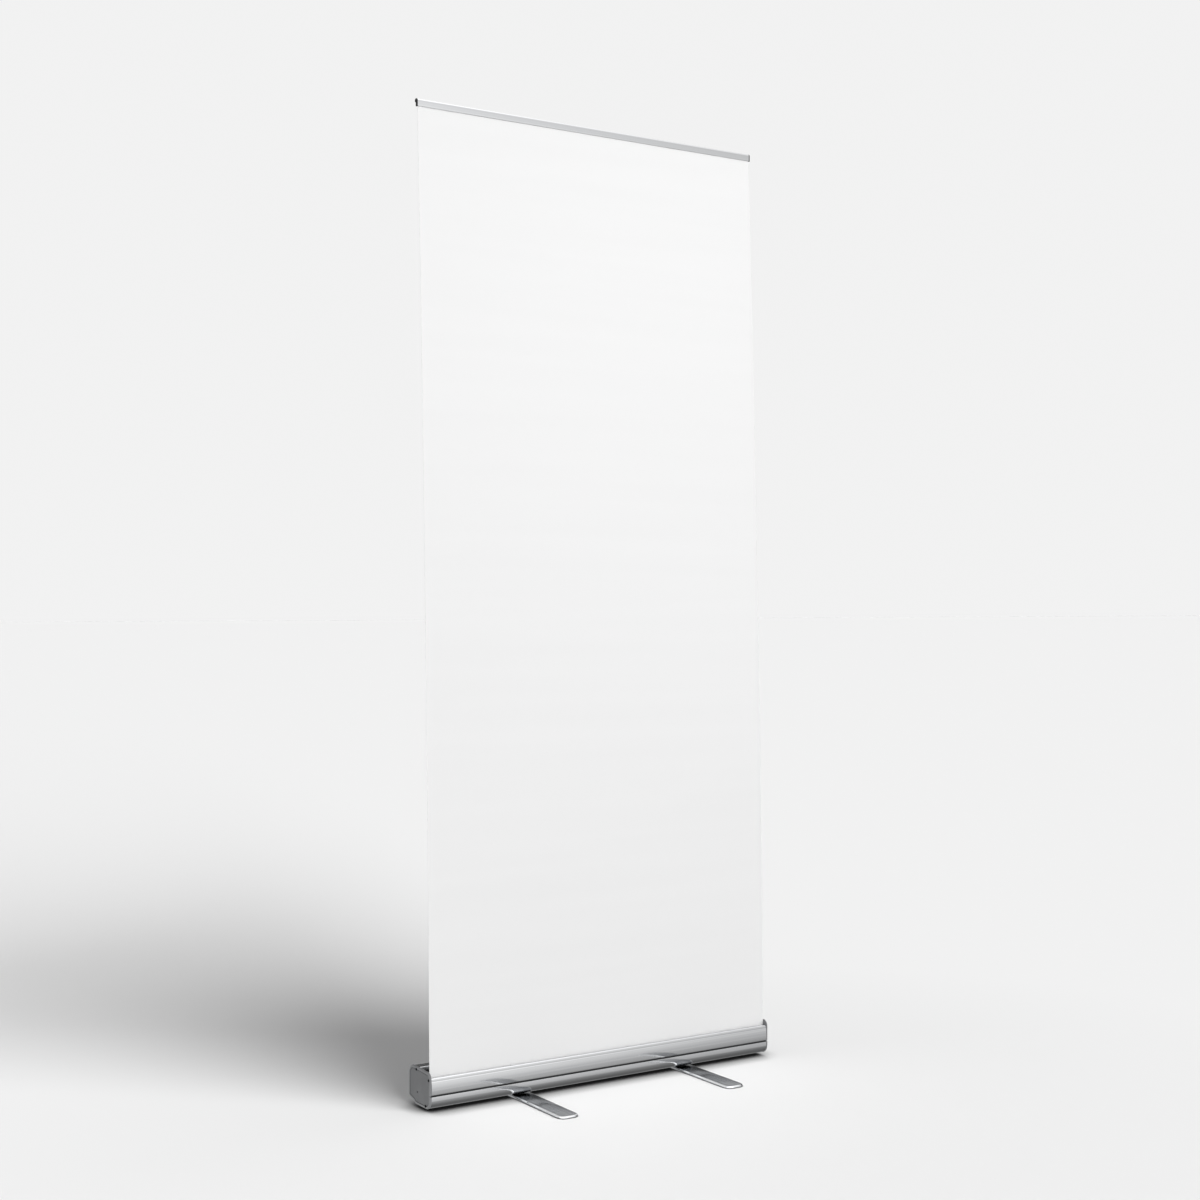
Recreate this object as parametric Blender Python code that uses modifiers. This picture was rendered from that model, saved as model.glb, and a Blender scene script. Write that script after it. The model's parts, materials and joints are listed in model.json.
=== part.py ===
"""A roll-up banner stand: a spring roller in an aluminium cassette, a film drawn up behind its front lip,
a clamp rail on a three-section telescopic pole, and two swivel feet.

Frame: metres, +Z up. The origin is on the floor, midway between the two feet's pivots. +X is to the
right of someone who faces the print and +Y points away from them, to the side where the pole stands.
"""

import math

import bmesh
import bpy
from mathutils import Vector

# ---------------------------------------------------------------------------------------------
# Driving dimensions
# ---------------------------------------------------------------------------------------------
GAP = 0.0003                  # air left between pieces that touch on the real object

# Film
FILM_WIDTH = 0.850
FILM_THICKNESS = 0.0005
FILM_BOW = 0.0066             # forward bow at half height
FILM_ROWS = 24
FILM_IN_RAIL = 0.0075         # how deep the film goes into the rail's slot

# Cassette profile, an extrusion along X with an open top mouth. A rise is a height above its underside.
END_PLAY = 0.0006             # between the film's edge and an end cap
WALL = 0.0018
FRONT_Y = -0.0287
REAR_Y = 0.0644
TOP_RISE = 0.0764
MOUTH_TO_POLE = 0.0144        # from the mouth's rear edge back to the pole's axis
BEAD_RADIUS = 0.0046          # round lip along the front wall, which is also a screw port
BEAD_RISE = 0.0596
BEAD_STEP = 0.0007            # how far the lip stands back from the front face
BEAD_SKIN = 0.0006            # how far the front wall reaches up past the lip's centre
FILM_CLEARANCE = 0.0009       # from the lip's back to the middle of the film
CREASE_RISE = 0.0562
CREASE_DEPTH = 0.0005
CREASE_HALF = 0.0007
GROOVE_TOP_RISE = 0.0299
GROOVE_WIDTH = 0.0038
GROOVE_DEPTH = 0.0025
TRIM_SINK = 0.0010            # how far the groove's black strip lies behind the front face
FRONT_BULGE = 0.0006
FRONT_TOE_RADIUS = 0.0186
STEP_START_Y = 0.0344         # where the underside starts to rise towards the rear
STEP_START_RADIUS = 0.002
STEP_Y = 0.0416
STEP_RISE = 0.0048
STEP_RADIUS = 0.003
REAR_TOE_RISE = 0.0108
REAR_TOE_RADIUS = 0.009
SHOULDER_RADIUS = 0.020
PORT_RADIUS = 0.0040          # screw ports inside the profile
PORT_SINK = 0.0006            # how far a port is sunk into the wall
PORT_FROM_MOUTH = 0.0010      # from the mouth's rear edge to the top port's axis
PORT_FROM_FRONT = 0.0190      # from the front face to the toe port's axis

# End caps
CAP_THICKNESS = 0.0040
CAP_PROUD = 0.0005            # how far a cap's edge stands out past the profile
CAP_BROW_RISE = 0.0744        # the cap's front top corner
CAP_BROW_RADIUS = 0.014
CAP_RIM = 0.0050
CAP_POCKET = 0.0007
CAP_EDGE = 0.0006
CAP_SKIN = 0.0012             # plastic left outside the axle's end
CAP_BOSS_RADIUS = 0.0085
CAP_BOSS_LENGTH = 0.005
CAP_BOSS_ROOT = 0.001         # how far the boss runs into the cap
LOCK_HOLE_Y = 0.0273          # hole for the pin that holds the spring roller during a film change
LOCK_HOLE_RISE = 0.0254
LOCK_HOLE_RADIUS = 0.0022

# Screws
SCREW_RADIUS = 0.0014
SCREW_LENGTH = 0.014
SCREW_POINT = 0.002
SCREW_HEAD_RADIUS = 0.0028
SCREW_CROWN_RADIUS = 0.0021   # the flat on top of the head
SCREW_HEAD_HEIGHT = 0.0014
SCREW_SIDE_HEIGHT = 0.0006    # the head's upright side

# Roller
ROLLER_RISE = 0.0382
ROLLER_RADIUS = 0.0160
ROLLER_WALL = 0.0012
WRAP_THICKNESS = 0.0010       # the leader film still wound on the tube
WRAP_INSET = 0.001            # from the tube's end to the leader's edge
PLUG_LENGTH = 0.016
PLUG_FLANGE = 0.002
AXLE_RADIUS = 0.0040
AXLE_PAST_PLUG = 0.004
ROLLER_END_GAP = 0.0012
SPRING_LENGTH = 0.130
SPRING_RADIUS = 0.0085
SPRING_WIRE_RADIUS = 0.0009
SPRING_TURNS = 9
SPRING_STEPS = 10
ANCHOR_RADIUS = 0.0100
ANCHOR_LENGTH = 0.008

# Pole
POLE_INSET = 0.0204           # from the cassette's rear face to the pole's axis
TUBE_WALL = 0.0010
LOWER_TUBE_RADIUS = 0.0090
TUBE_PLAY = 0.0007            # radial play between one section and the next
TUBE_OVERLAP = 0.090
POLE_FOOT_RISE = 0.0147
COLLAR_BELOW = 0.022          # how far a lock collar reaches below its tube's end
COLLAR_ABOVE = 0.014
COLLAR_WALL = 0.0020
COLLAR_LOBES = 10
COLLAR_LOBE_DEPTH = 0.0005
COLLET_WALL = 0.0014
COLLET_INSET = 0.002          # how far a collet stops short of its collar's ends
SOCKET_WALL = 0.0032
SOCKET_TOP_RISE = 0.0392
SOCKET_FLOOR = 0.0028
SOCKET_HALF_WIDTH = 0.016
SOCKET_SCREW_OFFSET = 0.0115
SOCKET_SCREW_DROP = 0.010     # from the socket's top to its screws
PILOT_PAST_SCREW = 0.001
TIP_HALF_WIDTH = 0.008
TIP_HEAD = 0.023              # from the pole's top to the middle of the rail's bead
TIP_PAST_BEAD = 0.00205       # how far the cradle reaches above the middle of the bead
TIP_PLUG = 0.022
TIP_PLUG_ROOT = 0.004

# Top rail
RAIL_TOP_Z = 2.0574
RAIL_HEIGHT = 0.0161
RAIL_FROM_POLE = 0.0005       # between the rail's back and the plane of the pole's front
RAIL_BEAD_RADIUS = 0.0041
RAIL_JAW_DEPTH = 0.0044
RAIL_SLOT = 0.0012
RAIL_SLOT_DEPTH = 0.0092
KEDER_BORE = 0.0019
KEDER_RADIUS = 0.0015
RAIL_CAP_THICKNESS = 0.0025
RAIL_CAP_PROUD = 0.0003

# Feet
FOOT_LENGTH = 0.414
FOOT_WIDTH = 0.0475
FOOT_THICKNESS = 0.0052
FOOT_CORNER_RADIUS = 0.016
FOOT_EDGE_BEVEL = 0.0022
FOOT_X = 0.207                # distance of each pivot from the middle
RIVET_RADIUS = 0.0040
RIVET_HEAD_RADIUS = 0.0072
RIVET_HEAD_HEIGHT = 0.0016
RIVET_PEEN_RADIUS = 0.0052    # upper head, closed inside the cassette
RIVET_SINK = 0.0008           # the lower head sits this far above the floor
WASHER_RADIUS = 0.0110
WASHER_THICKNESS = 0.0010

ROUND = 24                    # sides of a large round piece
SMALL_ROUND = 12              # sides of a small one
LOBE_SIDES = 6                # sides to one of a collar's lobes
ARC_STEP = math.radians(15)
CUT_PAST = 0.010              # how far a cutter reaches past what it cuts

# ---------------------------------------------------------------------------------------------
# Values worked out from them
# ---------------------------------------------------------------------------------------------
PROFILE_HALF = FILM_WIDTH / 2 + END_PLAY
CAP_INNER_X = PROFILE_HALF + GAP
CAP_OUTER_X = CAP_INNER_X + CAP_THICKNESS

UNDERSIDE_Z = FOOT_THICKNESS + WASHER_THICKNESS + 2 * GAP
TOP_Z = UNDERSIDE_Z + TOP_RISE
BEAD_CENTRE_Z = UNDERSIDE_Z + BEAD_RISE
CREASE_Z = UNDERSIDE_Z + CREASE_RISE
GROOVE_TOP_Z = UNDERSIDE_Z + GROOVE_TOP_RISE
GROOVE_BOTTOM_Z = GROOVE_TOP_Z - GROOVE_WIDTH
STEP_Z = UNDERSIDE_Z + STEP_RISE
REAR_TOE_Z = UNDERSIDE_Z + REAR_TOE_RISE
CAP_BROW_Z = UNDERSIDE_Z + CAP_BROW_RISE
LOCK_HOLE = (LOCK_HOLE_Y, UNDERSIDE_Z + LOCK_HOLE_RISE)

WRAP_RADIUS = ROLLER_RADIUS + GAP + WRAP_THICKNESS
LIP_BACK_Y = FRONT_Y + 2 * BEAD_RADIUS + BEAD_STEP
BEAD_CENTRE_Y = LIP_BACK_Y - BEAD_RADIUS
FILM_FOOT_Y = LIP_BACK_Y + FILM_CLEARANCE
ROLLER_Y = FILM_FOOT_Y + FILM_THICKNESS / 2 + GAP + WRAP_RADIUS
ROLLER_Z = UNDERSIDE_Z + ROLLER_RISE

MIDDLE_TUBE_RADIUS = LOWER_TUBE_RADIUS - TUBE_WALL - TUBE_PLAY
UPPER_TUBE_RADIUS = MIDDLE_TUBE_RADIUS - TUBE_WALL - TUBE_PLAY
POLE_Y = REAR_Y - POLE_INSET
MOUTH_REAR_Y = POLE_Y - MOUTH_TO_POLE

RAIL_BOTTOM_Z = RAIL_TOP_Z - RAIL_HEIGHT
RAIL_BACK_Y = POLE_Y - UPPER_TUBE_RADIUS - RAIL_FROM_POLE
RAIL_FRONT_Y = RAIL_BACK_Y - RAIL_JAW_DEPTH
RAIL_FILM_Y = (RAIL_FRONT_Y + RAIL_BACK_Y) / 2
RAIL_BEAD_Y = RAIL_FRONT_Y + RAIL_BEAD_RADIUS
RAIL_BEAD_Z = RAIL_TOP_Z - RAIL_BEAD_RADIUS
RAIL_HALF = FILM_WIDTH / 2
KEDER_Z = RAIL_BOTTOM_Z + RAIL_SLOT_DEPTH + KEDER_RADIUS
FILM_LEAN = RAIL_FILM_Y - FILM_FOOT_Y    # how far the rail end stands behind the roller end

POLE_FOOT_Z = UNDERSIDE_Z + POLE_FOOT_RISE
SOCKET_TOP_Z = UNDERSIDE_Z + SOCKET_TOP_RISE
POLE_TOP_Z = RAIL_BEAD_Z - TIP_HEAD
TUBE_LENGTH = (POLE_TOP_Z - POLE_FOOT_Z + 2 * TUBE_OVERLAP) / 3
LOWER_TOP_Z = POLE_FOOT_Z + TUBE_LENGTH
MIDDLE_BOTTOM_Z = LOWER_TOP_Z - TUBE_OVERLAP
MIDDLE_TOP_Z = MIDDLE_BOTTOM_Z + TUBE_LENGTH
UPPER_BOTTOM_Z = MIDDLE_TOP_Z - TUBE_OVERLAP

# Screw positions on a cap as (y, z): top rear, lip bead and front toe.
SCREW_PLACES = (
    (MOUTH_REAR_Y + PORT_FROM_MOUTH, TOP_Z - WALL - PORT_RADIUS + PORT_SINK),
    (BEAD_CENTRE_Y, BEAD_CENTRE_Z),
    (FRONT_Y + PORT_FROM_FRONT, UNDERSIDE_Z + WALL + PORT_RADIUS - PORT_SINK),
)

# ---------------------------------------------------------------------------------------------
# Helpers
# ---------------------------------------------------------------------------------------------
for old in list(bpy.data.objects):
    bpy.data.objects.remove(old, do_unlink=True)

PARTS = bpy.data.collections.new("roll_up_banner_stand")
CUTTERS = bpy.data.collections.new("cutters")
bpy.context.scene.collection.children.link(PARTS)
bpy.context.scene.collection.children.link(CUTTERS)


def linear(channel):
    """One sRGB channel from 0 to 1 as a linear value."""
    return channel / 12.92 if channel <= 0.04045 else ((channel + 0.055) / 1.055) ** 2.4


def material(name, colour, roughness, metallic=0.0):
    made = bpy.data.materials.new(name)
    made.use_nodes = True
    shader = made.node_tree.nodes["Principled BSDF"]
    rgb = [linear(int(colour[i:i + 2], 16) / 255) for i in (0, 2, 4)]
    shader.inputs["Base Color"].default_value = (*rgb, 1.0)
    shader.inputs["Roughness"].default_value = roughness
    shader.inputs["Metallic"].default_value = metallic
    return made


def place(obj, finish, parent=None):
    """Links a finished object to the parts, gives it its material and keeps its place under a parent."""
    for home in list(obj.users_collection):
        home.objects.unlink(obj)
    PARTS.objects.link(obj)
    obj.data.materials.clear()
    obj.data.materials.append(finish)
    if parent is not None:
        obj.parent = parent
        obj.matrix_parent_inverse = parent.matrix_world.inverted()
    return obj


def joint_axis(name, location):
    """An empty on a joint's axis, which the pieces that move with it hang from."""
    empty = bpy.data.objects.new(name, None)
    empty.location = location
    PARTS.objects.link(empty)
    bpy.context.view_layer.update()
    return empty


def object_of(name, bm, home=PARTS):
    mesh = bpy.data.meshes.new(name)
    bm.to_mesh(mesh)
    bm.free()
    obj = bpy.data.objects.new(name, mesh)
    home.objects.link(obj)
    return obj


def as_cutter(obj):
    for home in list(obj.users_collection):
        home.objects.unlink(obj)
    CUTTERS.objects.link(obj)
    obj.hide_render = True
    obj.display_type = "WIRE"
    return obj


def boolean(obj, other, operation="DIFFERENCE"):
    as_cutter(other)
    step = obj.modifiers.new(f"{operation.lower()} {other.name}", "BOOLEAN")
    step.object = other
    step.operation = operation
    step.solver = "EXACT"


def smooth(obj, angle=math.radians(35)):
    for face in obj.data.polygons:
        face.use_smooth = True
    obj.data.set_sharp_from_angle(angle=angle)
    return obj


def arc(centre, radius, start, end, sides):
    """Points of an arc about centre, from angle start to angle end."""
    return [
        (
            centre[0] + radius * math.cos(start + (end - start) * i / sides),
            centre[1] + radius * math.sin(start + (end - start) * i / sides),
        )
        for i in range(sides + 1)
    ]


def filleted(corners, closed=True):
    """An outline through corners (y, z, radius), each rounded by its radius."""
    count = len(corners)
    points = []
    for i, (y, z, radius) in enumerate(corners):
        here = Vector((y, z))
        if radius == 0 or (not closed and i in (0, count - 1)):
            points.append((y, z))
            continue
        before = (Vector(corners[i - 1][:2]) - here).normalized()
        after = (Vector(corners[(i + 1) % count][:2]) - here).normalized()
        half = before.angle(after) / 2
        centre = here + (before + after).normalized() * (radius / math.sin(half))
        start = here + before * (radius / math.tan(half)) - centre
        end = here + after * (radius / math.tan(half)) - centre
        turn = math.pi - 2 * half
        if start.x * end.y - start.y * end.x < 0:
            turn = -turn
        first = math.atan2(start.y, start.x)
        sides = max(1, round(abs(turn) / ARC_STEP))
        points += arc(centre, radius, first, first + turn, sides)
    return points


def inset(corners, depth):
    """The same closed outline, given anticlockwise, moved inwards by depth."""
    moved = []
    count = len(corners)
    for i, (y, z, radius) in enumerate(corners):
        here = Vector((y, z))
        before = (here - Vector(corners[i - 1][:2])).normalized()
        after = (Vector(corners[(i + 1) % count][:2]) - here).normalized()
        normals = Vector((-before.y, before.x)) + Vector((-after.y, after.x))
        shift = normals * (2 * depth / normals.length_squared)
        bends_in = before.x * after.y - before.y * after.x < 0
        new_radius = radius + depth if bends_in else max(radius - depth, 0.0)
        moved.append((y + shift.x, z + shift.y, new_radius if radius else 0.0))
    return moved


def flat(name, outline, half_thickness, location, rotation):
    """A flat outline as a filled curve, made a mesh with its caps welded, at its place."""
    curve = bpy.data.curves.new(name, "CURVE")
    curve.dimensions = "2D"
    curve.fill_mode = "BOTH"
    curve.extrude = half_thickness
    spline = curve.splines.new("POLY")
    spline.points.add(len(outline) - 1)
    for point, (u, v) in zip(spline.points, outline):
        point.co = (u, v, 0.0, 1.0)
    spline.use_cyclic_u = True
    guide = bpy.data.objects.new(name + "_outline", curve)
    guide.location = location
    guide.rotation_euler = rotation
    return curve_to_mesh(guide, name)


def curve_to_mesh(guide, name):
    PARTS.objects.link(guide)
    bpy.context.view_layer.update()
    graph = bpy.context.evaluated_depsgraph_get()
    mesh = bpy.data.meshes.new_from_object(guide.evaluated_get(graph))
    bm = bmesh.new()
    bm.from_mesh(mesh)
    bmesh.ops.remove_doubles(bm, verts=bm.verts, dist=0.000001)
    bmesh.ops.recalc_face_normals(bm, faces=bm.faces)
    bm.to_mesh(mesh)
    bm.free()
    mesh.name = name
    obj = bpy.data.objects.new(name, mesh)
    obj.matrix_world = guide.matrix_world
    bpy.data.objects.remove(guide)
    PARTS.objects.link(obj)
    return obj


def extrusion(name, outline, low_x, high_x):
    """An outline in (y, z) carried along X."""
    middle = Vector(((low_x + high_x) / 2, 0, 0))
    return flat(name, outline, (high_x - low_x) / 2, middle, (math.pi / 2, 0, math.pi / 2))


def cylinder(name, radius, low, high, centre, axis="X", sides=SMALL_ROUND):
    """A plain cylinder from low to high along an axis through centre, its other two coordinates."""
    bm = bmesh.new()
    bmesh.ops.create_cone(
        bm, cap_ends=True, segments=sides, radius1=radius, radius2=radius, depth=high - low
    )
    obj = object_of(name, bm)
    middle = (low + high) / 2
    if axis == "X":
        obj.rotation_euler = (0, math.pi / 2, 0)
        obj.location = (middle, centre[0], centre[1])
    elif axis == "Y":
        obj.rotation_euler = (math.pi / 2, 0, 0)
        obj.location = (centre[0], middle, centre[1])
    else:
        obj.location = (centre[0], centre[1], middle)
    return obj


def box(name, low, high):
    bm = bmesh.new()
    bmesh.ops.create_cube(bm, size=1.0)
    size = [b - a for a, b in zip(low, high)]
    bmesh.ops.scale(bm, vec=size, verts=bm.verts)
    obj = object_of(name, bm)
    obj.location = [(a + b) / 2 for a, b in zip(low, high)]
    return obj


def turned(name, profile, centre, axis="Z", sides=ROUND):
    """A profile of (radius, height) points, top to bottom down its outer side, turned about an axis."""
    mesh = bpy.data.meshes.new(name)
    points = [(radius, 0.0, height) for radius, height in profile]
    closed = profile[0][0] > 0
    edges = [(i, i + 1) for i in range(len(points) - 1)]
    if closed:
        edges.append((len(points) - 1, 0))
    mesh.from_pydata(points, edges, [])
    obj = bpy.data.objects.new(name, mesh)
    PARTS.objects.link(obj)
    obj.location = centre
    if axis == "X":
        obj.rotation_euler = (0, math.pi / 2, 0)
    elif axis == "-X":
        obj.rotation_euler = (0, -math.pi / 2, 0)
    elif axis == "Y":
        obj.rotation_euler = (-math.pi / 2, 0, 0)
    screw = obj.modifiers.new("turn", "SCREW")
    screw.steps = sides
    screw.render_steps = sides
    screw.use_merge_vertices = True
    screw.merge_threshold = 0.00001
    screw.use_smooth_shade = True
    return obj


def ring(name, inner, outer, low, high, centre, axis="Z", sides=ROUND):
    """A plain tube or washer."""
    profile = [(inner, high), (outer, high), (outer, low), (inner, low)]
    return turned(name, profile, centre, axis, sides)


# ---------------------------------------------------------------------------------------------
# Finishes
# ---------------------------------------------------------------------------------------------
ANODISED = material("anodised_aluminium", "D6D7D9", 0.28, 1.0)
CAP_GREY = material("grey_moulded_plastic", "8A8B8C", 0.55)
BLACK_PLASTIC = material("black_moulded_plastic", "17181A", 0.5)
WHITE_FILM = material("white_banner_film", "F6F6F6", 0.6)
STEEL = material("zinc_plated_steel", "B4B6B8", 0.35, 1.0)
DARK_STEEL = material("blackened_steel", "2E2F31", 0.4, 1.0)
POLISHED_STEEL = material("polished_steel", "9A9C9F", 0.18, 1.0)


# ---------------------------------------------------------------------------------------------
# Cassette: profile, end caps and their screws
# ---------------------------------------------------------------------------------------------
def front_band(low_z, high_z, sides):
    """The slightly crowned front face, from high_z down to low_z."""
    return [
        (
            FRONT_Y - FRONT_BULGE * 4 * (i / sides) * (1 - i / sides),
            high_z + (low_z - high_z) * i / sides,
            0.0,
        )
        for i in range(sides + 1)
    ]


def profile_path():
    """The profile's outer skin from the lip round to the rear edge of the mouth."""
    corners = [(FRONT_Y, BEAD_CENTRE_Z + BEAD_SKIN, 0.0)]
    corners.append((FRONT_Y, CREASE_Z + CREASE_HALF, 0.0))
    corners.append((FRONT_Y + CREASE_DEPTH, CREASE_Z, 0.0))
    corners += front_band(GROOVE_TOP_Z, CREASE_Z - CREASE_HALF, 6)
    corners.append((FRONT_Y + GROOVE_DEPTH, GROOVE_TOP_Z, 0.0))
    corners.append((FRONT_Y + GROOVE_DEPTH, GROOVE_BOTTOM_Z, 0.0))
    corners.append((FRONT_Y, GROOVE_BOTTOM_Z, 0.0))
    corners.append((FRONT_Y, UNDERSIDE_Z, FRONT_TOE_RADIUS))
    corners.append((STEP_START_Y, UNDERSIDE_Z, STEP_START_RADIUS))
    corners.append((STEP_Y, STEP_Z, STEP_RADIUS))
    corners.append((REAR_Y, REAR_TOE_Z, REAR_TOE_RADIUS))
    corners.append((REAR_Y, TOP_Z, SHOULDER_RADIUS))
    corners.append((MOUTH_REAR_Y, TOP_Z, 0.0))
    return filleted(corners, closed=False)


def skin_along_x(name, path, low_x, high_x):
    """An open surface: a path in (y, z) carried from low_x to high_x, ready for Solidify."""
    bm = bmesh.new()
    near = [bm.verts.new((low_x, y, z)) for y, z in path]
    far = [bm.verts.new((high_x, y, z)) for y, z in path]
    for i in range(len(path) - 1):
        bm.faces.new((near[i], far[i], far[i + 1], near[i + 1]))
    return object_of(name, bm)


def face_away(obj, inside):
    """Turns an open skin so that, taken over its whole area, it faces away from the point inside."""
    point = Vector(inside)
    outward = sum(face.area * face.normal.dot(face.center - point) for face in obj.data.polygons)
    if outward < 0:
        obj.data.flip_normals()


def make_cassette_profile():
    profile = skin_along_x("cassette_profile", profile_path(), -PROFILE_HALF, PROFILE_HALF)
    face_away(profile, (0, ROLLER_Y, ROLLER_Z))
    shell = profile.modifiers.new("wall", "SOLIDIFY")
    shell.thickness = WALL
    shell.offset = -1.0
    shell.use_even_offset = True
    for i, place_yz in enumerate(SCREW_PLACES):
        radius = BEAD_RADIUS if i == 1 else PORT_RADIUS
        port = cylinder(f"port_{i}", radius, -PROFILE_HALF, PROFILE_HALF, place_yz, sides=16)
        boolean(profile, port, "UNION")
    reach = PROFILE_HALF + CUT_PAST
    for i, place_yz in enumerate(SCREW_PLACES):
        hole = cylinder(f"port_hole_{i}", SCREW_RADIUS + GAP, -reach, reach, place_yz)
        boolean(profile, hole)
    pole_hole = cylinder(
        "pole_hole", LOWER_TUBE_RADIUS + 2 * GAP, TOP_Z - SHOULDER_RADIUS, TOP_Z + CUT_PAST,
        (0, POLE_Y), axis="Z", sides=ROUND,
    )
    boolean(profile, pole_hole)
    for side in (-1, 1):
        hole = cylinder(
            f"pivot_hole_{side}", RIVET_RADIUS + GAP, UNDERSIDE_Z - WALL, UNDERSIDE_Z + 2 * WALL,
            (side * FOOT_X, 0), axis="Z", sides=SMALL_ROUND,
        )
        boolean(profile, hole)
        hole = cylinder(
            f"socket_screw_hole_{side}", SCREW_RADIUS + GAP, REAR_Y - 2 * WALL, REAR_Y + WALL,
            (side * SOCKET_SCREW_OFFSET, socket_screw_z()), axis="Y",
        )
        boolean(profile, hole)
    smooth(profile)
    return place(profile, ANODISED)


def make_front_trim():
    """A black strip in the groove along the cassette's front."""
    strip = box(
        "front_trim",
        (-PROFILE_HALF, FRONT_Y + TRIM_SINK, GROOVE_BOTTOM_Z + GAP),
        (PROFILE_HALF, FRONT_Y + GROOVE_DEPTH - GAP, GROOVE_TOP_Z - GAP),
    )
    return place(strip, BLACK_PLASTIC)


def cap_corners():
    """A cap's outline, anticlockwise seen from +X, as corners with their radii."""
    proud = CAP_PROUD
    return [
        (FRONT_Y - proud, UNDERSIDE_Z - proud, FRONT_TOE_RADIUS),
        (STEP_START_Y, UNDERSIDE_Z - proud, STEP_START_RADIUS),
        (STEP_Y, STEP_Z - proud, STEP_RADIUS),
        (REAR_Y + proud, REAR_TOE_Z - proud, REAR_TOE_RADIUS),
        (REAR_Y + proud, TOP_Z + proud, SHOULDER_RADIUS),
        (MOUTH_REAR_Y, TOP_Z + proud, 0.0),
        (FRONT_Y - proud, CAP_BROW_Z, CAP_BROW_RADIUS),
    ]


def axle_end_x():
    """Where the axle and the spring shaft end, in the caps' blind seats."""
    return CAP_OUTER_X - CAP_POCKET - CAP_SKIN - GAP


def make_end_cap(name, side):
    inner = side * CAP_INNER_X
    outer = side * CAP_OUTER_X
    low, high = min(inner, outer), max(inner, outer)
    cap = extrusion(name, filleted(cap_corners()), low, high)
    edge = cap.modifiers.new("edge", "BEVEL")
    edge.width = CAP_EDGE
    edge.segments = 1
    edge.limit_method = "ANGLE"
    edge.angle_limit = math.radians(60)

    floor = outer - side * CAP_POCKET
    past = outer + side * CUT_PAST
    pocket = extrusion(
        name + "_pocket", filleted(inset(cap_corners(), CAP_RIM)), min(floor, past), max(floor, past)
    )
    boolean(cap, pocket)
    boss_end = inner - side * CAP_BOSS_LENGTH
    boss_root = inner + side * CAP_BOSS_ROOT
    boss = cylinder(
        name + "_boss", CAP_BOSS_RADIUS, min(boss_end, boss_root), max(boss_end, boss_root),
        (ROLLER_Y, ROLLER_Z), sides=ROUND,
    )
    boolean(cap, boss, "UNION")
    seat_low, seat_high = sorted((boss_end - side * CUT_PAST, side * axle_end_x() + side * GAP))
    axle_seat = cylinder(
        name + "_axle_seat", AXLE_RADIUS + GAP, seat_low, seat_high, (ROLLER_Y, ROLLER_Z), sides=16
    )
    boolean(cap, axle_seat)
    reach = CAP_THICKNESS + CAP_BOSS_LENGTH + CUT_PAST
    middle = (inner + outer) / 2

    def through(label, radius, centre):
        hole = cylinder(f"{name}_{label}", radius, middle - reach, middle + reach, centre)
        boolean(cap, hole)

    through("lock_hole", LOCK_HOLE_RADIUS, LOCK_HOLE)
    for i, centre in enumerate(SCREW_PLACES):
        through(f"screw_hole_{i}", SCREW_RADIUS + GAP, centre)
        seat = cylinder(
            f"{name}_screw_seat_{i}", SCREW_HEAD_RADIUS + GAP, min(floor, past), max(floor, past),
            centre,
        )
        boolean(cap, seat)
    notch = box(
        name + "_notch",
        (middle - reach, FRONT_Y - CAP_PROUD - CUT_PAST, GROOVE_BOTTOM_Z),
        (middle + reach, FRONT_Y + GROOVE_DEPTH, GROOVE_TOP_Z),
    )
    boolean(cap, notch)
    smooth(cap)
    return place(cap, CAP_GREY)


def screw_profile():
    """A pan-head screw, its head's underside at height 0 and its shank running down."""
    return [
        (0.0, SCREW_HEAD_HEIGHT),
        (SCREW_CROWN_RADIUS, SCREW_HEAD_HEIGHT),
        (SCREW_HEAD_RADIUS, SCREW_SIDE_HEIGHT),
        (SCREW_HEAD_RADIUS, 0.0),
        (SCREW_RADIUS, 0.0),
        (SCREW_RADIUS, SCREW_POINT - SCREW_LENGTH),
        (0.0, -SCREW_LENGTH),
    ]


def make_cap_screws(side_name, side):
    seat = CAP_OUTER_X - CAP_POCKET + GAP
    for i, (y, z) in enumerate(SCREW_PLACES):
        screw = turned(
            f"cap_screw_{side_name}_{i + 1}", screw_profile(), (side * seat, y, z),
            axis="X" if side > 0 else "-X", sides=SMALL_ROUND,
        )
        place(screw, DARK_STEEL)


# ---------------------------------------------------------------------------------------------
# Roller: tube, plugs, axle, spring and the film still wound on it
# ---------------------------------------------------------------------------------------------
def make_roller(parent):
    half = FILM_WIDTH / 2 - ROLLER_END_GAP
    centre = (0, ROLLER_Y, ROLLER_Z)
    bore = ROLLER_RADIUS - ROLLER_WALL
    tube_half = half - PLUG_FLANGE - GAP - CAP_BOSS_LENGTH
    tube = ring("roller_tube", bore, ROLLER_RADIUS, -tube_half, tube_half, centre, axis="X")
    place(tube, ANODISED, parent)
    wrap_half = tube_half - WRAP_INSET
    wrap = ring(
        "leader_roll", ROLLER_RADIUS + GAP, WRAP_RADIUS, -wrap_half, wrap_half, centre, axis="X"
    )
    place(wrap, WHITE_FILM, parent)
    hole = AXLE_RADIUS + GAP
    for side_name, side in (("left", -1), ("right", 1)):
        profile = [
            (hole, tube_half + GAP + PLUG_FLANGE),
            (ROLLER_RADIUS, tube_half + GAP + PLUG_FLANGE),
            (ROLLER_RADIUS, tube_half + GAP),
            (bore - GAP, tube_half + GAP),
            (bore - GAP, tube_half + GAP - PLUG_LENGTH),
            (hole, tube_half + GAP - PLUG_LENGTH),
        ]
        plug = turned(
            f"roller_plug_{side_name}", profile, centre, axis="X" if side > 0 else "-X"
        )
        place(plug, BLACK_PLASTIC, parent)
    return tube_half + GAP - PLUG_LENGTH


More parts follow.
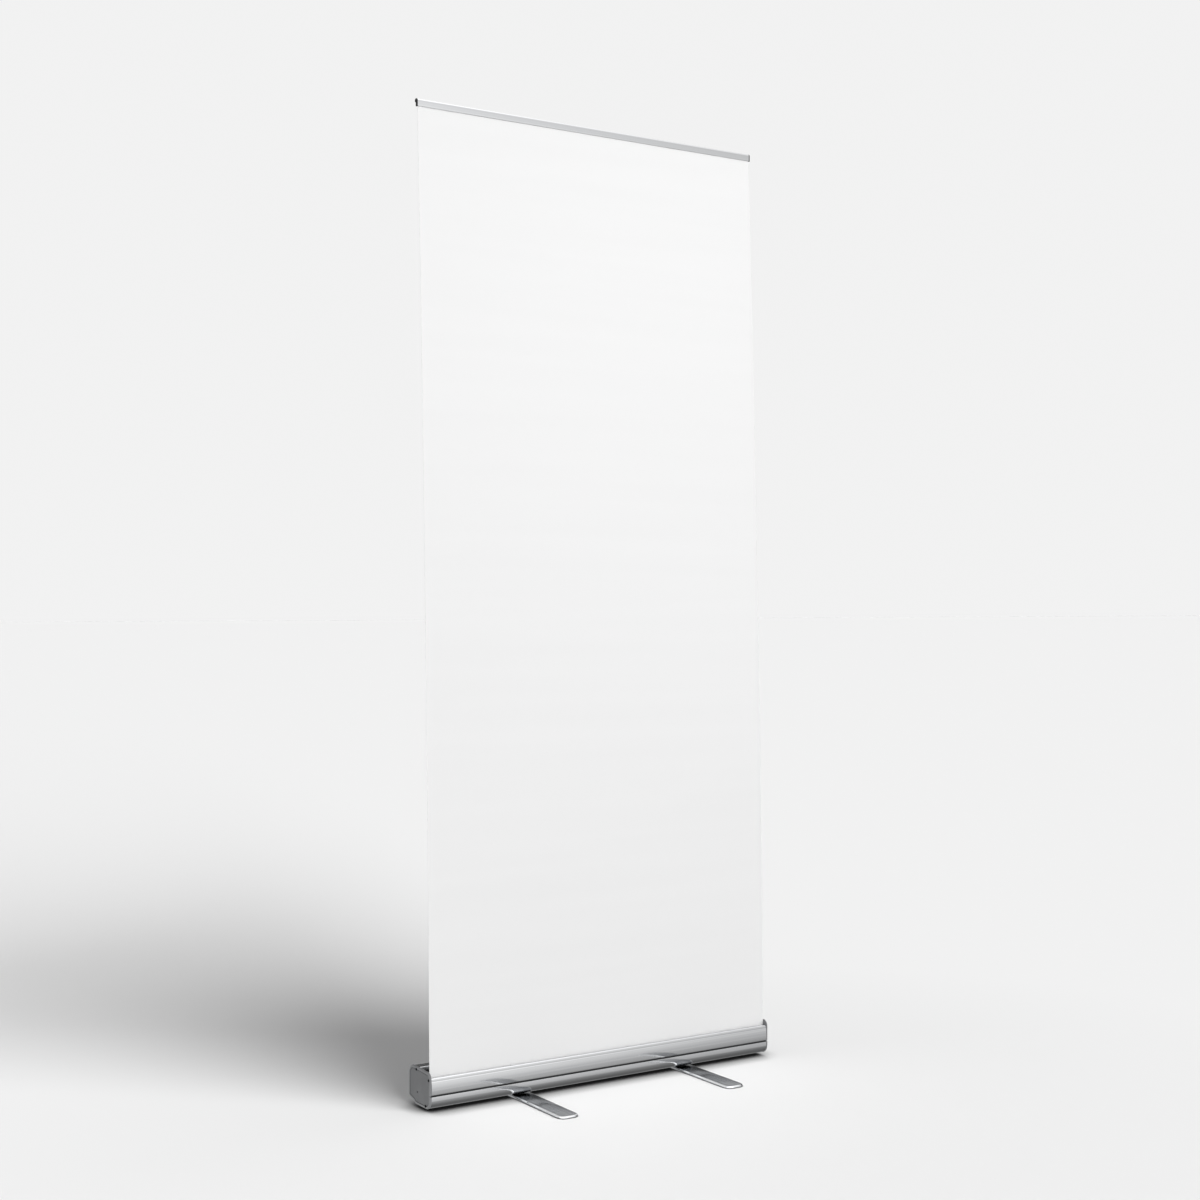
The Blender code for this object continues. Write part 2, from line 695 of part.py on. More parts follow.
def make_axle_and_spring(plug_inner_x):
    centre = (ROLLER_Y, ROLLER_Z)
    outer = axle_end_x()
    axle = cylinder(
        "idle_axle", AXLE_RADIUS, -outer, AXLE_PAST_PLUG - plug_inner_x, centre, sides=16
    )
    place(smooth(axle), STEEL)

    shaft_end = plug_inner_x - SPRING_LENGTH - ANCHOR_LENGTH
    shaft = cylinder("spring_shaft", AXLE_RADIUS, shaft_end, outer, centre, sides=16)
    place(smooth(shaft), STEEL)
    anchor = ring(
        "spring_anchor", AXLE_RADIUS + GAP, ANCHOR_RADIUS, shaft_end, shaft_end + ANCHOR_LENGTH,
        (0, ROLLER_Y, ROLLER_Z), axis="X",
    )
    place(anchor, BLACK_PLASTIC)

    low = shaft_end + ANCHOR_LENGTH + GAP + SPRING_WIRE_RADIUS
    high = plug_inner_x - GAP - SPRING_WIRE_RADIUS
    curve = bpy.data.curves.new("torsion_spring", "CURVE")
    curve.dimensions = "3D"
    curve.bevel_depth = SPRING_WIRE_RADIUS
    curve.bevel_resolution = 2
    curve.use_fill_caps = True
    spline = curve.splines.new("POLY")
    count = SPRING_TURNS * SPRING_STEPS + 1
    spline.points.add(count - 1)
    for i, point in enumerate(spline.points):
        turn = 2 * math.pi * i / SPRING_STEPS
        x = low + (high - low) * i / (count - 1)
        y = ROLLER_Y + SPRING_RADIUS * math.cos(turn)
        z = ROLLER_Z + SPRING_RADIUS * math.sin(turn)
        point.co = (x, y, z, 1.0)
    spring = bpy.data.objects.new("torsion_spring", curve)
    place(spring, DARK_STEEL)


# ---------------------------------------------------------------------------------------------
# Banner film
# ---------------------------------------------------------------------------------------------
def film_top_z():
    return RAIL_BOTTOM_Z + FILM_IN_RAIL


def film_y(z):
    """The film leans back in a straight line and bows forward by a parabola."""
    share = min(max((z - ROLLER_Z) / (RAIL_BOTTOM_Z - ROLLER_Z), 0.0), 1.0)
    return FILM_FOOT_Y + FILM_LEAN * share - 4 * FILM_BOW * share * (1 - share)


def make_film(parent):
    low, high = ROLLER_Z, RAIL_BOTTOM_Z
    heights = [low + (high - low) * i / FILM_ROWS for i in range(FILM_ROWS + 1)] + [film_top_z()]
    path = [(film_y(z), z) for z in heights]
    film = skin_along_x("banner_film", path, -FILM_WIDTH / 2, FILM_WIDTH / 2)
    face_away(film, (0, POLE_Y, RAIL_TOP_Z / 2))
    sheet = film.modifiers.new("sheet", "SOLIDIFY")
    sheet.thickness = FILM_THICKNESS
    sheet.offset = 0.0
    place(smooth(film), WHITE_FILM, parent)


# ---------------------------------------------------------------------------------------------
# Top rail
# ---------------------------------------------------------------------------------------------
def rail_outline(proud=0.0):
    """A teardrop: a round bead at the top with a flat jaw below it, without the film slot."""
    front = RAIL_FRONT_Y - proud
    back = RAIL_BACK_Y + proud
    low = RAIL_BOTTOM_Z - proud
    radius = RAIL_BEAD_RADIUS + proud
    centre = (RAIL_BEAD_Y, RAIL_BEAD_Z)
    meets = math.asin((back - RAIL_BEAD_Y) / radius)
    points = [(front, low), (back, low)]
    points += arc(centre, radius, -math.pi / 2 + meets, math.pi, 14)
    return points


def make_rail(parent):
    rail = extrusion("top_rail", rail_outline(), -RAIL_HALF, RAIL_HALF)
    reach = RAIL_HALF + CUT_PAST
    slot = box(
        "rail_slot",
        (-reach, RAIL_FILM_Y - RAIL_SLOT / 2, RAIL_BOTTOM_Z - CUT_PAST),
        (reach, RAIL_FILM_Y + RAIL_SLOT / 2, KEDER_Z),
    )
    boolean(rail, slot)
    bore = cylinder("keder_bore", KEDER_BORE, -reach, reach, (RAIL_FILM_Y, KEDER_Z), sides=16)
    boolean(rail, bore)
    place(smooth(rail), ANODISED, parent)
    keder = cylinder(
        "rail_keder", KEDER_RADIUS, -RAIL_HALF, RAIL_HALF, (RAIL_FILM_Y, KEDER_Z), sides=SMALL_ROUND
    )
    place(smooth(keder), BLACK_PLASTIC, parent)
    for side_name, side in (("left", -1), ("right", 1)):
        inner = side * (RAIL_HALF + GAP)
        outer = inner + side * RAIL_CAP_THICKNESS
        cap = extrusion(
            f"rail_cap_{side_name}", rail_outline(RAIL_CAP_PROUD), min(inner, outer),
            max(inner, outer),
        )
        place(smooth(cap), BLACK_PLASTIC, parent)


# ---------------------------------------------------------------------------------------------
# Telescopic pole
# ---------------------------------------------------------------------------------------------
def make_tube(name, radius, low, high, parent=None):
    tube = ring(name, radius - TUBE_WALL, radius, low, high, (0, POLE_Y, 0))
    return place(tube, ANODISED, parent)


def make_lock(level, outer_tube, inner_tube, tube_top, collet_parent, collar_parent):
    """A split collet on a tube's mouth, and the ribbed collar that tightens it."""
    bore = inner_tube + GAP
    grip = outer_tube + GAP
    outer = grip + COLLET_WALL
    high = tube_top + COLLAR_ABOVE
    low = tube_top - COLLAR_BELOW
    profile = [
        (bore, high - COLLET_INSET),
        (outer, high - COLLET_INSET),
        (outer, low + COLLET_INSET),
        (grip, low + COLLET_INSET),
        (grip, tube_top + GAP),
        (bore, tube_top + GAP),
    ]
    collet = turned(f"collet_{level}", profile, (0, POLE_Y, 0))
    place(collet, BLACK_PLASTIC, collet_parent)

    radius = outer + GAP + COLLAR_WALL
    sides = COLLAR_LOBES * LOBE_SIDES
    outline = []
    for i in range(sides):
        angle = 2 * math.pi * i / sides
        reach = radius + COLLAR_LOBE_DEPTH * math.cos(COLLAR_LOBES * angle)
        outline.append((reach * math.cos(angle), reach * math.sin(angle)))
    collar = flat(
        f"lock_collar_{level}", outline, (high - low) / 2, (0, POLE_Y, (high + low) / 2), (0, 0, 0)
    )
    through = cylinder(
        f"collar_bore_{level}", outer + GAP, low - CUT_PAST, high + CUT_PAST, (0, POLE_Y),
        axis="Z", sides=ROUND,
    )
    boolean(collar, through)
    place(smooth(collar), BLACK_PLASTIC, collar_parent)


def socket_screw_z():
    return SOCKET_TOP_Z - SOCKET_SCREW_DROP


def make_socket():
    """The block inside the cassette that the pole's lower section stands in."""
    bore = LOWER_TUBE_RADIUS + GAP
    low = POLE_FOOT_Z - GAP - SOCKET_FLOOR
    back = REAR_Y - WALL - GAP
    front = POLE_Y - bore - SOCKET_WALL
    outline = [
        (front, low),
        (back - REAR_TOE_RADIUS, low),
        (back, low + REAR_TOE_RADIUS),
        (back, SOCKET_TOP_Z),
        (front, SOCKET_TOP_Z),
    ]
    block = extrusion("pole_socket", outline, -SOCKET_HALF_WIDTH, SOCKET_HALF_WIDTH)
    seat = cylinder(
        "socket_bore", bore, POLE_FOOT_Z - GAP, SOCKET_TOP_Z + CUT_PAST, (0, POLE_Y), axis="Z",
        sides=ROUND,
    )
    boolean(block, seat)
    for side_name, side in (("left", -1), ("right", 1)):
        centre = (side * SOCKET_SCREW_OFFSET, socket_screw_z())
        pilot = cylinder(
            f"socket_pilot_{side_name}", SCREW_RADIUS + GAP,
            REAR_Y + GAP - SCREW_LENGTH - PILOT_PAST_SCREW, REAR_Y + CUT_PAST, centre, axis="Y",
        )
        boolean(block, pilot)
        screw = turned(
            f"socket_screw_{side_name}", screw_profile(), (centre[0], REAR_Y + GAP, centre[1]),
            axis="Y", sides=SMALL_ROUND,
        )
        place(screw, DARK_STEEL)
    return place(block, BLACK_PLASTIC)


def make_tip(parent):
    """The cradle on the pole's top, which the rail's bead rests in."""
    front = RAIL_BACK_Y + GAP
    back = POLE_Y + UPPER_TUBE_RADIUS
    low = POLE_TOP_Z + GAP
    high = RAIL_BEAD_Z + TIP_PAST_BEAD
    tip = box("pole_tip", (-TIP_HALF_WIDTH, front, low), (TIP_HALF_WIDTH, back, high))
    plug = cylinder(
        "tip_plug", UPPER_TUBE_RADIUS - TUBE_WALL - GAP, POLE_TOP_Z - TIP_PLUG,
        low + TIP_PLUG_ROOT, (0, POLE_Y), axis="Z", sides=16,
    )
    boolean(tip, plug, "UNION")
    reach = TIP_HALF_WIDTH + CUT_PAST
    cradle = cylinder(
        "tip_cradle", RAIL_BEAD_RADIUS + GAP, -reach, reach, (RAIL_BEAD_Y, RAIL_BEAD_Z), sides=ROUND
    )
    boolean(tip, cradle)
    return place(tip, BLACK_PLASTIC, parent)


# ---------------------------------------------------------------------------------------------
# Feet
# ---------------------------------------------------------------------------------------------
def make_foot(side_name, side):
    """A flat bar that swivels about a rivet through its middle."""
    half_x = FOOT_WIDTH / 2
    half_y = FOOT_LENGTH / 2
    corners = [
        (-half_x, -half_y, FOOT_CORNER_RADIUS),
        (half_x, -half_y, FOOT_CORNER_RADIUS),
        (half_x, half_y, FOOT_CORNER_RADIUS),
        (-half_x, half_y, FOOT_CORNER_RADIUS),
    ]
    x = side * FOOT_X
    foot = flat(
        f"foot_{side_name}", filleted(corners), FOOT_THICKNESS / 2, (x, 0, FOOT_THICKNESS / 2),
        (0, 0, 0),
    )
    edge = foot.modifiers.new("edge", "BEVEL")
    edge.width = FOOT_EDGE_BEVEL
    edge.segments = 1
    edge.limit_method = "ANGLE"
    edge.angle_limit = math.radians(60)
    hole = cylinder(
        f"foot_hole_{side_name}", RIVET_RADIUS + GAP, -CUT_PAST, FOOT_THICKNESS + CUT_PAST, (x, 0),
        axis="Z", sides=16,
    )
    boolean(foot, hole)
    sink_top = RIVET_SINK + RIVET_HEAD_HEIGHT + GAP
    sink = cylinder(
        f"foot_sink_{side_name}", RIVET_HEAD_RADIUS + GAP, -CUT_PAST, sink_top, (x, 0), axis="Z",
        sides=16,
    )
    boolean(foot, sink)
    place(smooth(foot), POLISHED_STEEL)

    low = RIVET_SINK
    high = UNDERSIDE_Z + WALL + GAP + RIVET_HEAD_HEIGHT
    profile = [
        (0.0, high),
        (RIVET_PEEN_RADIUS, high),
        (RIVET_PEEN_RADIUS, high - RIVET_HEAD_HEIGHT),
        (RIVET_RADIUS, high - RIVET_HEAD_HEIGHT),
        (RIVET_RADIUS, low + RIVET_HEAD_HEIGHT),
        (RIVET_HEAD_RADIUS, low + RIVET_HEAD_HEIGHT),
        (RIVET_HEAD_RADIUS, low),
        (0.0, low),
    ]
    place(turned(f"pivot_rivet_{side_name}", profile, (x, 0, 0), sides=16), STEEL)
    washer = ring(
        f"pivot_washer_{side_name}", RIVET_RADIUS + GAP, WASHER_RADIUS, FOOT_THICKNESS + GAP,
        UNDERSIDE_Z - GAP, (x, 0, 0), sides=16,
    )
    place(washer, BLACK_PLASTIC)


# ---------------------------------------------------------------------------------------------
# Assembly
# ---------------------------------------------------------------------------------------------
make_cassette_profile()
make_front_trim()
for end_name, end in (("left", -1), ("right", 1)):
    make_end_cap(f"end_cap_{end_name}", end)
    make_cap_screws(end_name, end)

roller_axis = joint_axis("roller_axis", (0, ROLLER_Y, ROLLER_Z))
make_axle_and_spring(make_roller(roller_axis))

middle_axis = joint_axis("pole_middle_axis", (0, POLE_Y, MIDDLE_BOTTOM_Z))
upper_axis = joint_axis("pole_upper_axis", (0, POLE_Y, UPPER_BOTTOM_Z))
upper_axis.parent = middle_axis
upper_axis.matrix_parent_inverse = middle_axis.matrix_world.inverted()
bpy.context.view_layer.update()

make_socket()
make_tube("pole_lower", LOWER_TUBE_RADIUS, POLE_FOOT_Z, LOWER_TOP_Z)
make_tube("pole_middle", MIDDLE_TUBE_RADIUS, MIDDLE_BOTTOM_Z, MIDDLE_TOP_Z, middle_axis)
make_tube("pole_upper", UPPER_TUBE_RADIUS, UPPER_BOTTOM_Z, POLE_TOP_Z, upper_axis)
make_lock("lower", LOWER_TUBE_RADIUS, MIDDLE_TUBE_RADIUS, LOWER_TOP_Z, None, None)
make_lock("upper", MIDDLE_TUBE_RADIUS, UPPER_TUBE_RADIUS, MIDDLE_TOP_Z, middle_axis, middle_axis)
make_tip(upper_axis)
make_rail(upper_axis)
make_film(upper_axis)

for end_name, end in (("left", -1), ("right", 1)):
    make_foot(end_name, end)
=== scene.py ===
# %% [markdown]
# # A roll-up banner stand
# The stand is a printed film that a spring roller draws into an aluminium cassette. A clamp rail holds
# the film's top edge, a telescopic pole behind the film holds the rail up, and two flat steel feet carry
# the cassette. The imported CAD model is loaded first: it says where every body is and how it moves, and
# each finer piece below is made in the same metres, so nothing has to be fitted to it afterwards.

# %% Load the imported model
import json
import math

import bmesh
import bpy
import numpy as np
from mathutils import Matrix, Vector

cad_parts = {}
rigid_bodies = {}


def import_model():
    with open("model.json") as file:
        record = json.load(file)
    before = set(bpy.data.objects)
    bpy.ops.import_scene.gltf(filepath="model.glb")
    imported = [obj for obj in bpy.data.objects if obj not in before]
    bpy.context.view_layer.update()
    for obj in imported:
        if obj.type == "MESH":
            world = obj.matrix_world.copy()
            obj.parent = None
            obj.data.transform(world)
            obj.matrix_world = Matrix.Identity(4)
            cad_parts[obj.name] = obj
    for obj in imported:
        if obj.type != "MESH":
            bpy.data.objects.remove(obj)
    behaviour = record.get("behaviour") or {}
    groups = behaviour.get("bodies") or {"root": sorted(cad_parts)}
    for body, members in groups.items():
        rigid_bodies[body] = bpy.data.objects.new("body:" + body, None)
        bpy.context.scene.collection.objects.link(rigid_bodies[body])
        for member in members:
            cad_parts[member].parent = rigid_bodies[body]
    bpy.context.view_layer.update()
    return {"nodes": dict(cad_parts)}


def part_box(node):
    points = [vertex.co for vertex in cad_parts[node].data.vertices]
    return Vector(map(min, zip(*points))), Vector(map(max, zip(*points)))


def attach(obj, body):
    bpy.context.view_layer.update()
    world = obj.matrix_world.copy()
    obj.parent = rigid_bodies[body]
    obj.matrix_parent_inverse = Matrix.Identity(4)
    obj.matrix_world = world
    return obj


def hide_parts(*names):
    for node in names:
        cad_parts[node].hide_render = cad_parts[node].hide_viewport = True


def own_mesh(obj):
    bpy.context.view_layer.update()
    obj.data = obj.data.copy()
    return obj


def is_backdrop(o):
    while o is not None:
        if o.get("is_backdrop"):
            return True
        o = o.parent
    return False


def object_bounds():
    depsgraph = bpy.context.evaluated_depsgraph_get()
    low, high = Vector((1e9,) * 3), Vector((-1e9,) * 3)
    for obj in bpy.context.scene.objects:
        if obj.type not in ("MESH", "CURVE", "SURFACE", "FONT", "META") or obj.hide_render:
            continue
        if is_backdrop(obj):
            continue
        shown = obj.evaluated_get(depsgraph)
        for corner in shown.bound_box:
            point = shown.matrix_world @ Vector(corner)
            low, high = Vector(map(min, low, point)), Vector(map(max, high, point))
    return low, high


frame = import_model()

# %% [markdown]
# ## Camera
# The stand was seen from its left front, from about 3.9 m away and a metre up, with a camera held level.
# A level camera keeps upright edges upright, so the banner's height is framed by the lens alone. A long
# lens from that far shows the same gentle convergence of the rail and the cassette.

# %% Camera
CAMERA_PLACE = (-2.10966, -3.25321, 1.02528)
CAMERA_TURN = math.radians(32.913)      # how far it looks to the right of +Y
CAMERA_PITCH = math.radians(0.12)
CAMERA_ROLL = math.radians(0.009)
LENS_MM = 54.055

camera = bpy.data.objects.new("camera", bpy.data.cameras.new("camera"))
camera.data.lens = LENS_MM
camera.data.sensor_width = 36.0
camera.location = CAMERA_PLACE
camera.rotation_euler = (math.pi / 2 + CAMERA_PITCH, CAMERA_ROLL, -CAMERA_TURN)
bpy.context.scene.collection.objects.link(camera)
bpy.context.scene.camera = camera
print("camera", [round(v, 3) for v in camera.location], "lens", LENS_MM, "mm")

# %% [markdown]
# ## Colours and nodes
# A hex colour is written for a screen, and a shader works in linear light, so one function turns the one
# into the other. One more function adds a node, sets it up and links it, and every finish is a short list
# of such nodes.

# %% Colour and node helpers
def linear(hex_colour):
    """A hex colour as linear red, green, blue and an alpha of 1. Each channel c from 0 to 1 becomes
    c / 12.92 where it is below 0.04045, and ((c + 0.055) / 1.055) to the power 2.4 above."""
    c = np.array([int(hex_colour[i:i + 2], 16) / 255 for i in (0, 2, 4)])
    return (*np.where(c <= 0.04045, c / 12.92, ((c + 0.055) / 1.055) ** 2.4), 1.0)


def add_node(tree, kind, inputs=None, **settings):
    """A node of this kind with its settings, and its inputs set to values or linked from sockets."""
    node = tree.nodes.new(kind)
    for key, value in settings.items():
        setattr(node, key, value)
    for key, value in (inputs or {}).items():
        if isinstance(value, bpy.types.NodeSocket):
            tree.links.new(value, node.inputs[key])
        else:
            node.inputs[key].default_value = value
    return node


def new_finish(name, **constants):
    """(material, its node tree, its shader), with constants set on the shader's own sockets."""
    finish = bpy.data.materials.new(name)
    finish.use_nodes = True
    tree = finish.node_tree
    shader = tree.nodes["Principled BSDF"]
    for key, value in constants.items():
        shader.inputs[key.replace("_", " ")].default_value = value
    return finish, tree, shader


def lines_along(tree, axis, across_mm, along_mm, detail=3.0):
    """Noise in Object coordinates, drawn out along one axis: about one line in across_mm, each about
    along_mm long. The coordinate is divided by those sizes, so the noise's own scale is 1."""
    place = add_node(tree, "ShaderNodeTexCoord")
    scale = [1000 / along_mm if k == axis else 1000 / across_mm for k in "XYZ"]
    stretched = add_node(tree, "ShaderNodeMapping", {"Vector": place.outputs["Object"], "Scale": scale})
    return add_node(tree, "ShaderNodeTexNoise",
                    {"Vector": stretched.outputs["Vector"], "Scale": 1.0, "Detail": detail})


def grains(tree, size_mm, detail=4.0, source="Object"):
    """Even noise with grains of about size_mm."""
    place = add_node(tree, "ShaderNodeTexCoord")
    return add_node(tree, "ShaderNodeTexNoise",
                    {"Vector": place.outputs[source], "Scale": 1000 / size_mm, "Detail": detail})


def spread(tree, value, low, high, start=0.3, end=0.7):
    """A value from start to end, carried to low to high."""
    return add_node(tree, "ShaderNodeMapRange", {
        "Value": value, "From Min": start, "From Max": end, "To Min": low, "To Max": high,
    }).outputs["Result"]


def tint(tree, value, dark, light):
    """A colour between two hex colours, by a value from 0.3 to 0.7."""
    ramp = add_node(tree, "ShaderNodeValToRGB", {"Fac": value})
    for stop, place, colour in zip(ramp.color_ramp.elements, (0.3, 0.7), (dark, light)):
        stop.position = place
        stop.color = linear(colour)
    return ramp.outputs["Color"]


def bumped(tree, shader, *layers):
    """Bump from layers of (height, depth in mm), one on top of the other."""
    below = None
    for height, depth_mm in layers:
        inputs = {"Height": height, "Distance": depth_mm / 1000, "Strength": 1.0}
        if below is not None:
            inputs["Normal"] = below
        below = add_node(tree, "ShaderNodeBump", inputs).outputs["Normal"]
    tree.links.new(below, shader.inputs["Normal"])


print("one grey in linear light:", [round(v, 3) for v in linear("808080")[:3]])

# %% [markdown]
# ## Anodised aluminium
# The cassette, the rail and the pole's tubes are extruded aluminium 6063 with a clear anodised skin.
# Extrusion leaves faint die lines along the length, and the clear oxide makes the metal paler and
# slightly milky, so reflections are soft but still there. Noise drawn out along the extrusion gives the
# lines, and two sizes of it keep them from looking ruled.

# %% Anodised aluminium
def make_anodised(name, axis, dark="D2D3D5", light="DCDDDE", roughness=(0.10, 0.15)):
    finish, tree, shader = new_finish(name, Metallic=1.0)
    fine = lines_along(tree, axis, 0.35, 180.0).outputs["Fac"]      # die lines, a third of a mm apart
    broad = lines_along(tree, axis, 4.0, 900.0, 2.0).outputs["Fac"]  # streaks of the oxide bath
    marks = grains(tree, 26.0).outputs["Fac"]                       # where hands have dulled it
    tree.links.new(tint(tree, broad, dark, light), shader.inputs["Base Color"])
    mixed = add_node(tree, "ShaderNodeMath", {0: fine, 1: marks}, operation="ADD").outputs[0]
    tree.links.new(spread(tree, mixed, *roughness, 0.7, 1.3), shader.inputs["Roughness"])
    bumped(tree, shader, (broad, 0.003), (fine, 0.0008))
    return finish


ANODISED_X = make_anodised("clear anodised aluminium, drawn along X", "X")
ANODISED_Z = make_anodised("clear anodised aluminium, drawn along Z", "Z")
print("made", ANODISED_X.name, "and", ANODISED_Z.name)

# %% [markdown]
# ## Moulded plastics
# The end caps are grey ABS. Their faces come from a spark-eroded mould, whose fine pits leave a matt grain
# about half a millimetre across, and their rims from its smooth parting edge, which is glossier. The rims
# are also painted a paler grey: a painted highlight for the light that their rounded edge catches. The lock
# collars, the tip and the plugs are black acetal from smoother moulds, with a low gloss.

# %% Moulded plastics
def make_plastic(name, dark, light, grain_mm, depth_mm, roughness, level):
    finish, tree, shader = new_finish(name, Metallic=0.0, IOR=1.5, Specular_IOR_Level=level)
    grain = grains(tree, grain_mm).outputs["Fac"]
    cloud = grains(tree, 38.0, 2.0).outputs["Fac"]                  # flow of the melt in the mould
    tree.links.new(tint(tree, cloud, dark, light), shader.inputs["Base Color"])
    tree.links.new(spread(tree, grain, *roughness), shader.inputs["Roughness"])
    bumped(tree, shader, (cloud, 0.05), (grain, depth_mm))
    return finish


CAP_GREY = make_plastic("spark-textured grey ABS", "828385", "8B8C8E", 0.6, 0.05, (0.42, 0.6), 0.45)
# A paler copy of the cap's grey for its rim: painted highlight where the rounded rim catches light, with a
# smoother gloss of its own.
PAINTED_LIT_RIM_GREY = make_plastic("smooth grey ABS with painted highlight", "97989A", "A0A1A3", 1.4, 0.01, (0.3, 0.4), 0.5)
BLACK = make_plastic("moulded black acetal", "141517", "1C1D1F", 1.1, 0.02, (0.32, 0.5), 0.5)
print("made", CAP_GREY.name + ",", PAINTED_LIT_RIM_GREY.name, "and", BLACK.name)

# %% [markdown]
# ## Coated polyester film
# The banner is polyester film with a matt ink-receiving coat in front and a pale grey block-out coat
# behind, so that light doesn't shine through the print. The coat has a fine, even tooth, and the stretched
# film keeps faint lines from the roll across its width. Both follow the film's own UV map, which is in
# metres, so they don't slide when the film moves. The film still on the roller has no such map.

# %% Coated polyester film
def make_film_finish(name, dark, light, roughness, own_map=True):
    """Lines about 45 mm apart and 900 mm long, and a tooth of 0.9 mm, on the sheet's own UV map in
    metres. A piece that has no such map takes them in Object coordinates."""
    finish, tree, shader = new_finish(name, Metallic=0.0, IOR=1.5, Specular_IOR_Level=0.35)
    if own_map:
        place = add_node(tree, "ShaderNodeUVMap", uv_map="sheet").outputs["UV"]
    else:
        place = add_node(tree, "ShaderNodeTexCoord").outputs["Object"]
    tooth = add_node(tree, "ShaderNodeTexNoise", {"Vector": place, "Scale": 1000 / 0.9, "Detail": 3.0})
    rolled = add_node(tree, "ShaderNodeMapping", {
        "Vector": place, "Scale": (1000 / 900, 1000 / 45, 1000 / 45)})
    lines = add_node(tree, "ShaderNodeTexNoise", {
        "Vector": rolled.outputs["Vector"], "Scale": 1.0, "Detail": 1.0})
    tree.links.new(tint(tree, lines.outputs["Fac"], dark, light), shader.inputs["Base Color"])
    tree.links.new(spread(tree, tooth.outputs["Fac"], *roughness), shader.inputs["Roughness"])
    bumped(tree, shader, (lines.outputs["Fac"], 0.012), (tooth.outputs["Fac"], 0.012))
    return finish


FILM_FRONT = make_film_finish("matt coated polyester film", "F0F0F0", "F1F1F1", (0.5, 0.62))
FILM_BACK = make_film_finish("grey block-out coat", "B9BABB", "BCBDBE", (0.55, 0.7))
FILM_ROLLED = make_film_finish("grey block-out coat, rolled", "B9BABB", "BCBDBE", (0.55, 0.7), False)
print("made", FILM_FRONT.name + ",", FILM_BACK.name, "and", FILM_ROLLED.name)

# %% [markdown]
# ## Steels
# The feet are flat steel bar, ground along its length and plated, so they mirror what is near in streaks.
# Their polished upper edge is painted in a much paler steel, a painted highlight where the edge catches the
# light. The rivets and the axle are zinc plated, with the soft cloudy gloss of the bath.
# The screws and the spring are blackened with oil, which leaves a dark metal with a low sheen.

# %% Steels
def make_steel(name, dark, light, roughness, axis=None, depth_mm=0.006):
    finish, tree, shader = new_finish(name, Metallic=1.0)
    cloud = grains(tree, 9.0).outputs["Fac"]
    if axis:
        fine = lines_along(tree, axis, 0.3, 60.0).outputs["Fac"]     # the grinding belt's lines
        broad = lines_along(tree, axis, 3.5, 220.0, 2.0).outputs["Fac"]
    else:
        fine = grains(tree, 0.5).outputs["Fac"]
        broad = cloud
    tree.links.new(tint(tree, broad, dark, light), shader.inputs["Base Color"])
    mixed = add_node(tree, "ShaderNodeMath", {0: fine, 1: cloud}, operation="ADD").outputs[0]
    tree.links.new(spread(tree, mixed, *roughness, 0.7, 1.3), shader.inputs["Roughness"])
    bumped(tree, shader, (fine, depth_mm))
    return finish


PLATED_BAR = make_steel("ground and plated steel bar", "77797C", "929497", (0.10, 0.18), "Y")
# Much paler than the bar: this steel paints the highlight on the feet's upper edge.
PAINTED_HIGHLIGHT_STEEL = make_steel("steel edge with painted highlight", "DEDFE1", "EAEBEC", (0.08, 0.13), "Y", 0.001)
ZINC = make_steel("zinc-plated steel", "A6A8A9", "C0C2C3", (0.28, 0.45))
BLACKENED = make_steel("blackened steel", "26272A", "36373A", (0.3, 0.5))
print("made", ", ".join(finish.name for finish in (PLATED_BAR, PAINTED_HIGHLIGHT_STEEL, ZINC, BLACKENED)))

# %% [markdown]
# ## Surfaces from numbers
# Every piece below is a grid of points that numpy works out as whole arrays: a section carried along X,
# a profile turned about an axis, or a pile of outlines. These helpers number the grid's faces, close its
# ends, and turn it the right way out by the sign of its volume.

# %% Mesh helpers
def grid_faces(rows, columns, wrap_rows=False, wrap_columns=False):
    """Quads between neighbours of a grid that is numbered row by row. A wrapped side joins its last
    line of points to its first."""
    index = np.arange(rows * columns).reshape(rows, columns)
    if wrap_rows:
        index = np.vstack([index, index[:1]])
    if wrap_columns:
        index = np.hstack([index, index[:, :1]])
    corners = (index[:-1, :-1], index[:-1, 1:], index[1:, 1:], index[1:, :-1])
    return np.stack(corners, axis=-1).reshape(-1, 4)


def volume(points, faces):
    """Six times the signed volume inside closed faces: for each face, the sum over its fan of triangles
    of the first corner's product with the cross product of the other two."""
    total = 0.0
    for group in faces:
        for k in range(1, group.shape[1] - 1):
            a, b, c = (points[group[:, j]] for j in (0, k, k + 1))
            total += float((a * np.cross(b, c)).sum())
    return total


def shell(points, faces):
    """A closed shell (points, faces) whose faces point outwards, turned round if its volume is negative."""
    points = np.asarray(points, float).reshape(-1, 3)
    if volume(points, faces) < 0:
        faces = [group[:, ::-1] for group in faces]
    return points, faces


def mesh_of(name, shells):
    """One mesh from several shells, filled as whole arrays."""
    points, corners, sizes, first = [], [], [], 0
    for shell_points, shell_faces in shells:
        for group in shell_faces:
            corners.append((group + first).reshape(-1))
            sizes.append(np.full(len(group), group.shape[1]))
        points.append(shell_points)
        first += len(shell_points)
    points, corners, sizes = (np.concatenate(part) for part in (points, corners, sizes))
    mesh = bpy.data.meshes.new(name)
    mesh.vertices.add(len(points))
    mesh.vertices.foreach_set("co", points.astype(np.float32).reshape(-1))
    mesh.loops.add(len(corners))
    mesh.loops.foreach_set("vertex_index", corners.astype(np.int32))
    mesh.polygons.add(len(sizes))
    mesh.polygons.foreach_set("loop_start", (np.cumsum(sizes) - sizes).astype(np.int32))
    mesh.update(calc_edges=True)
    return mesh


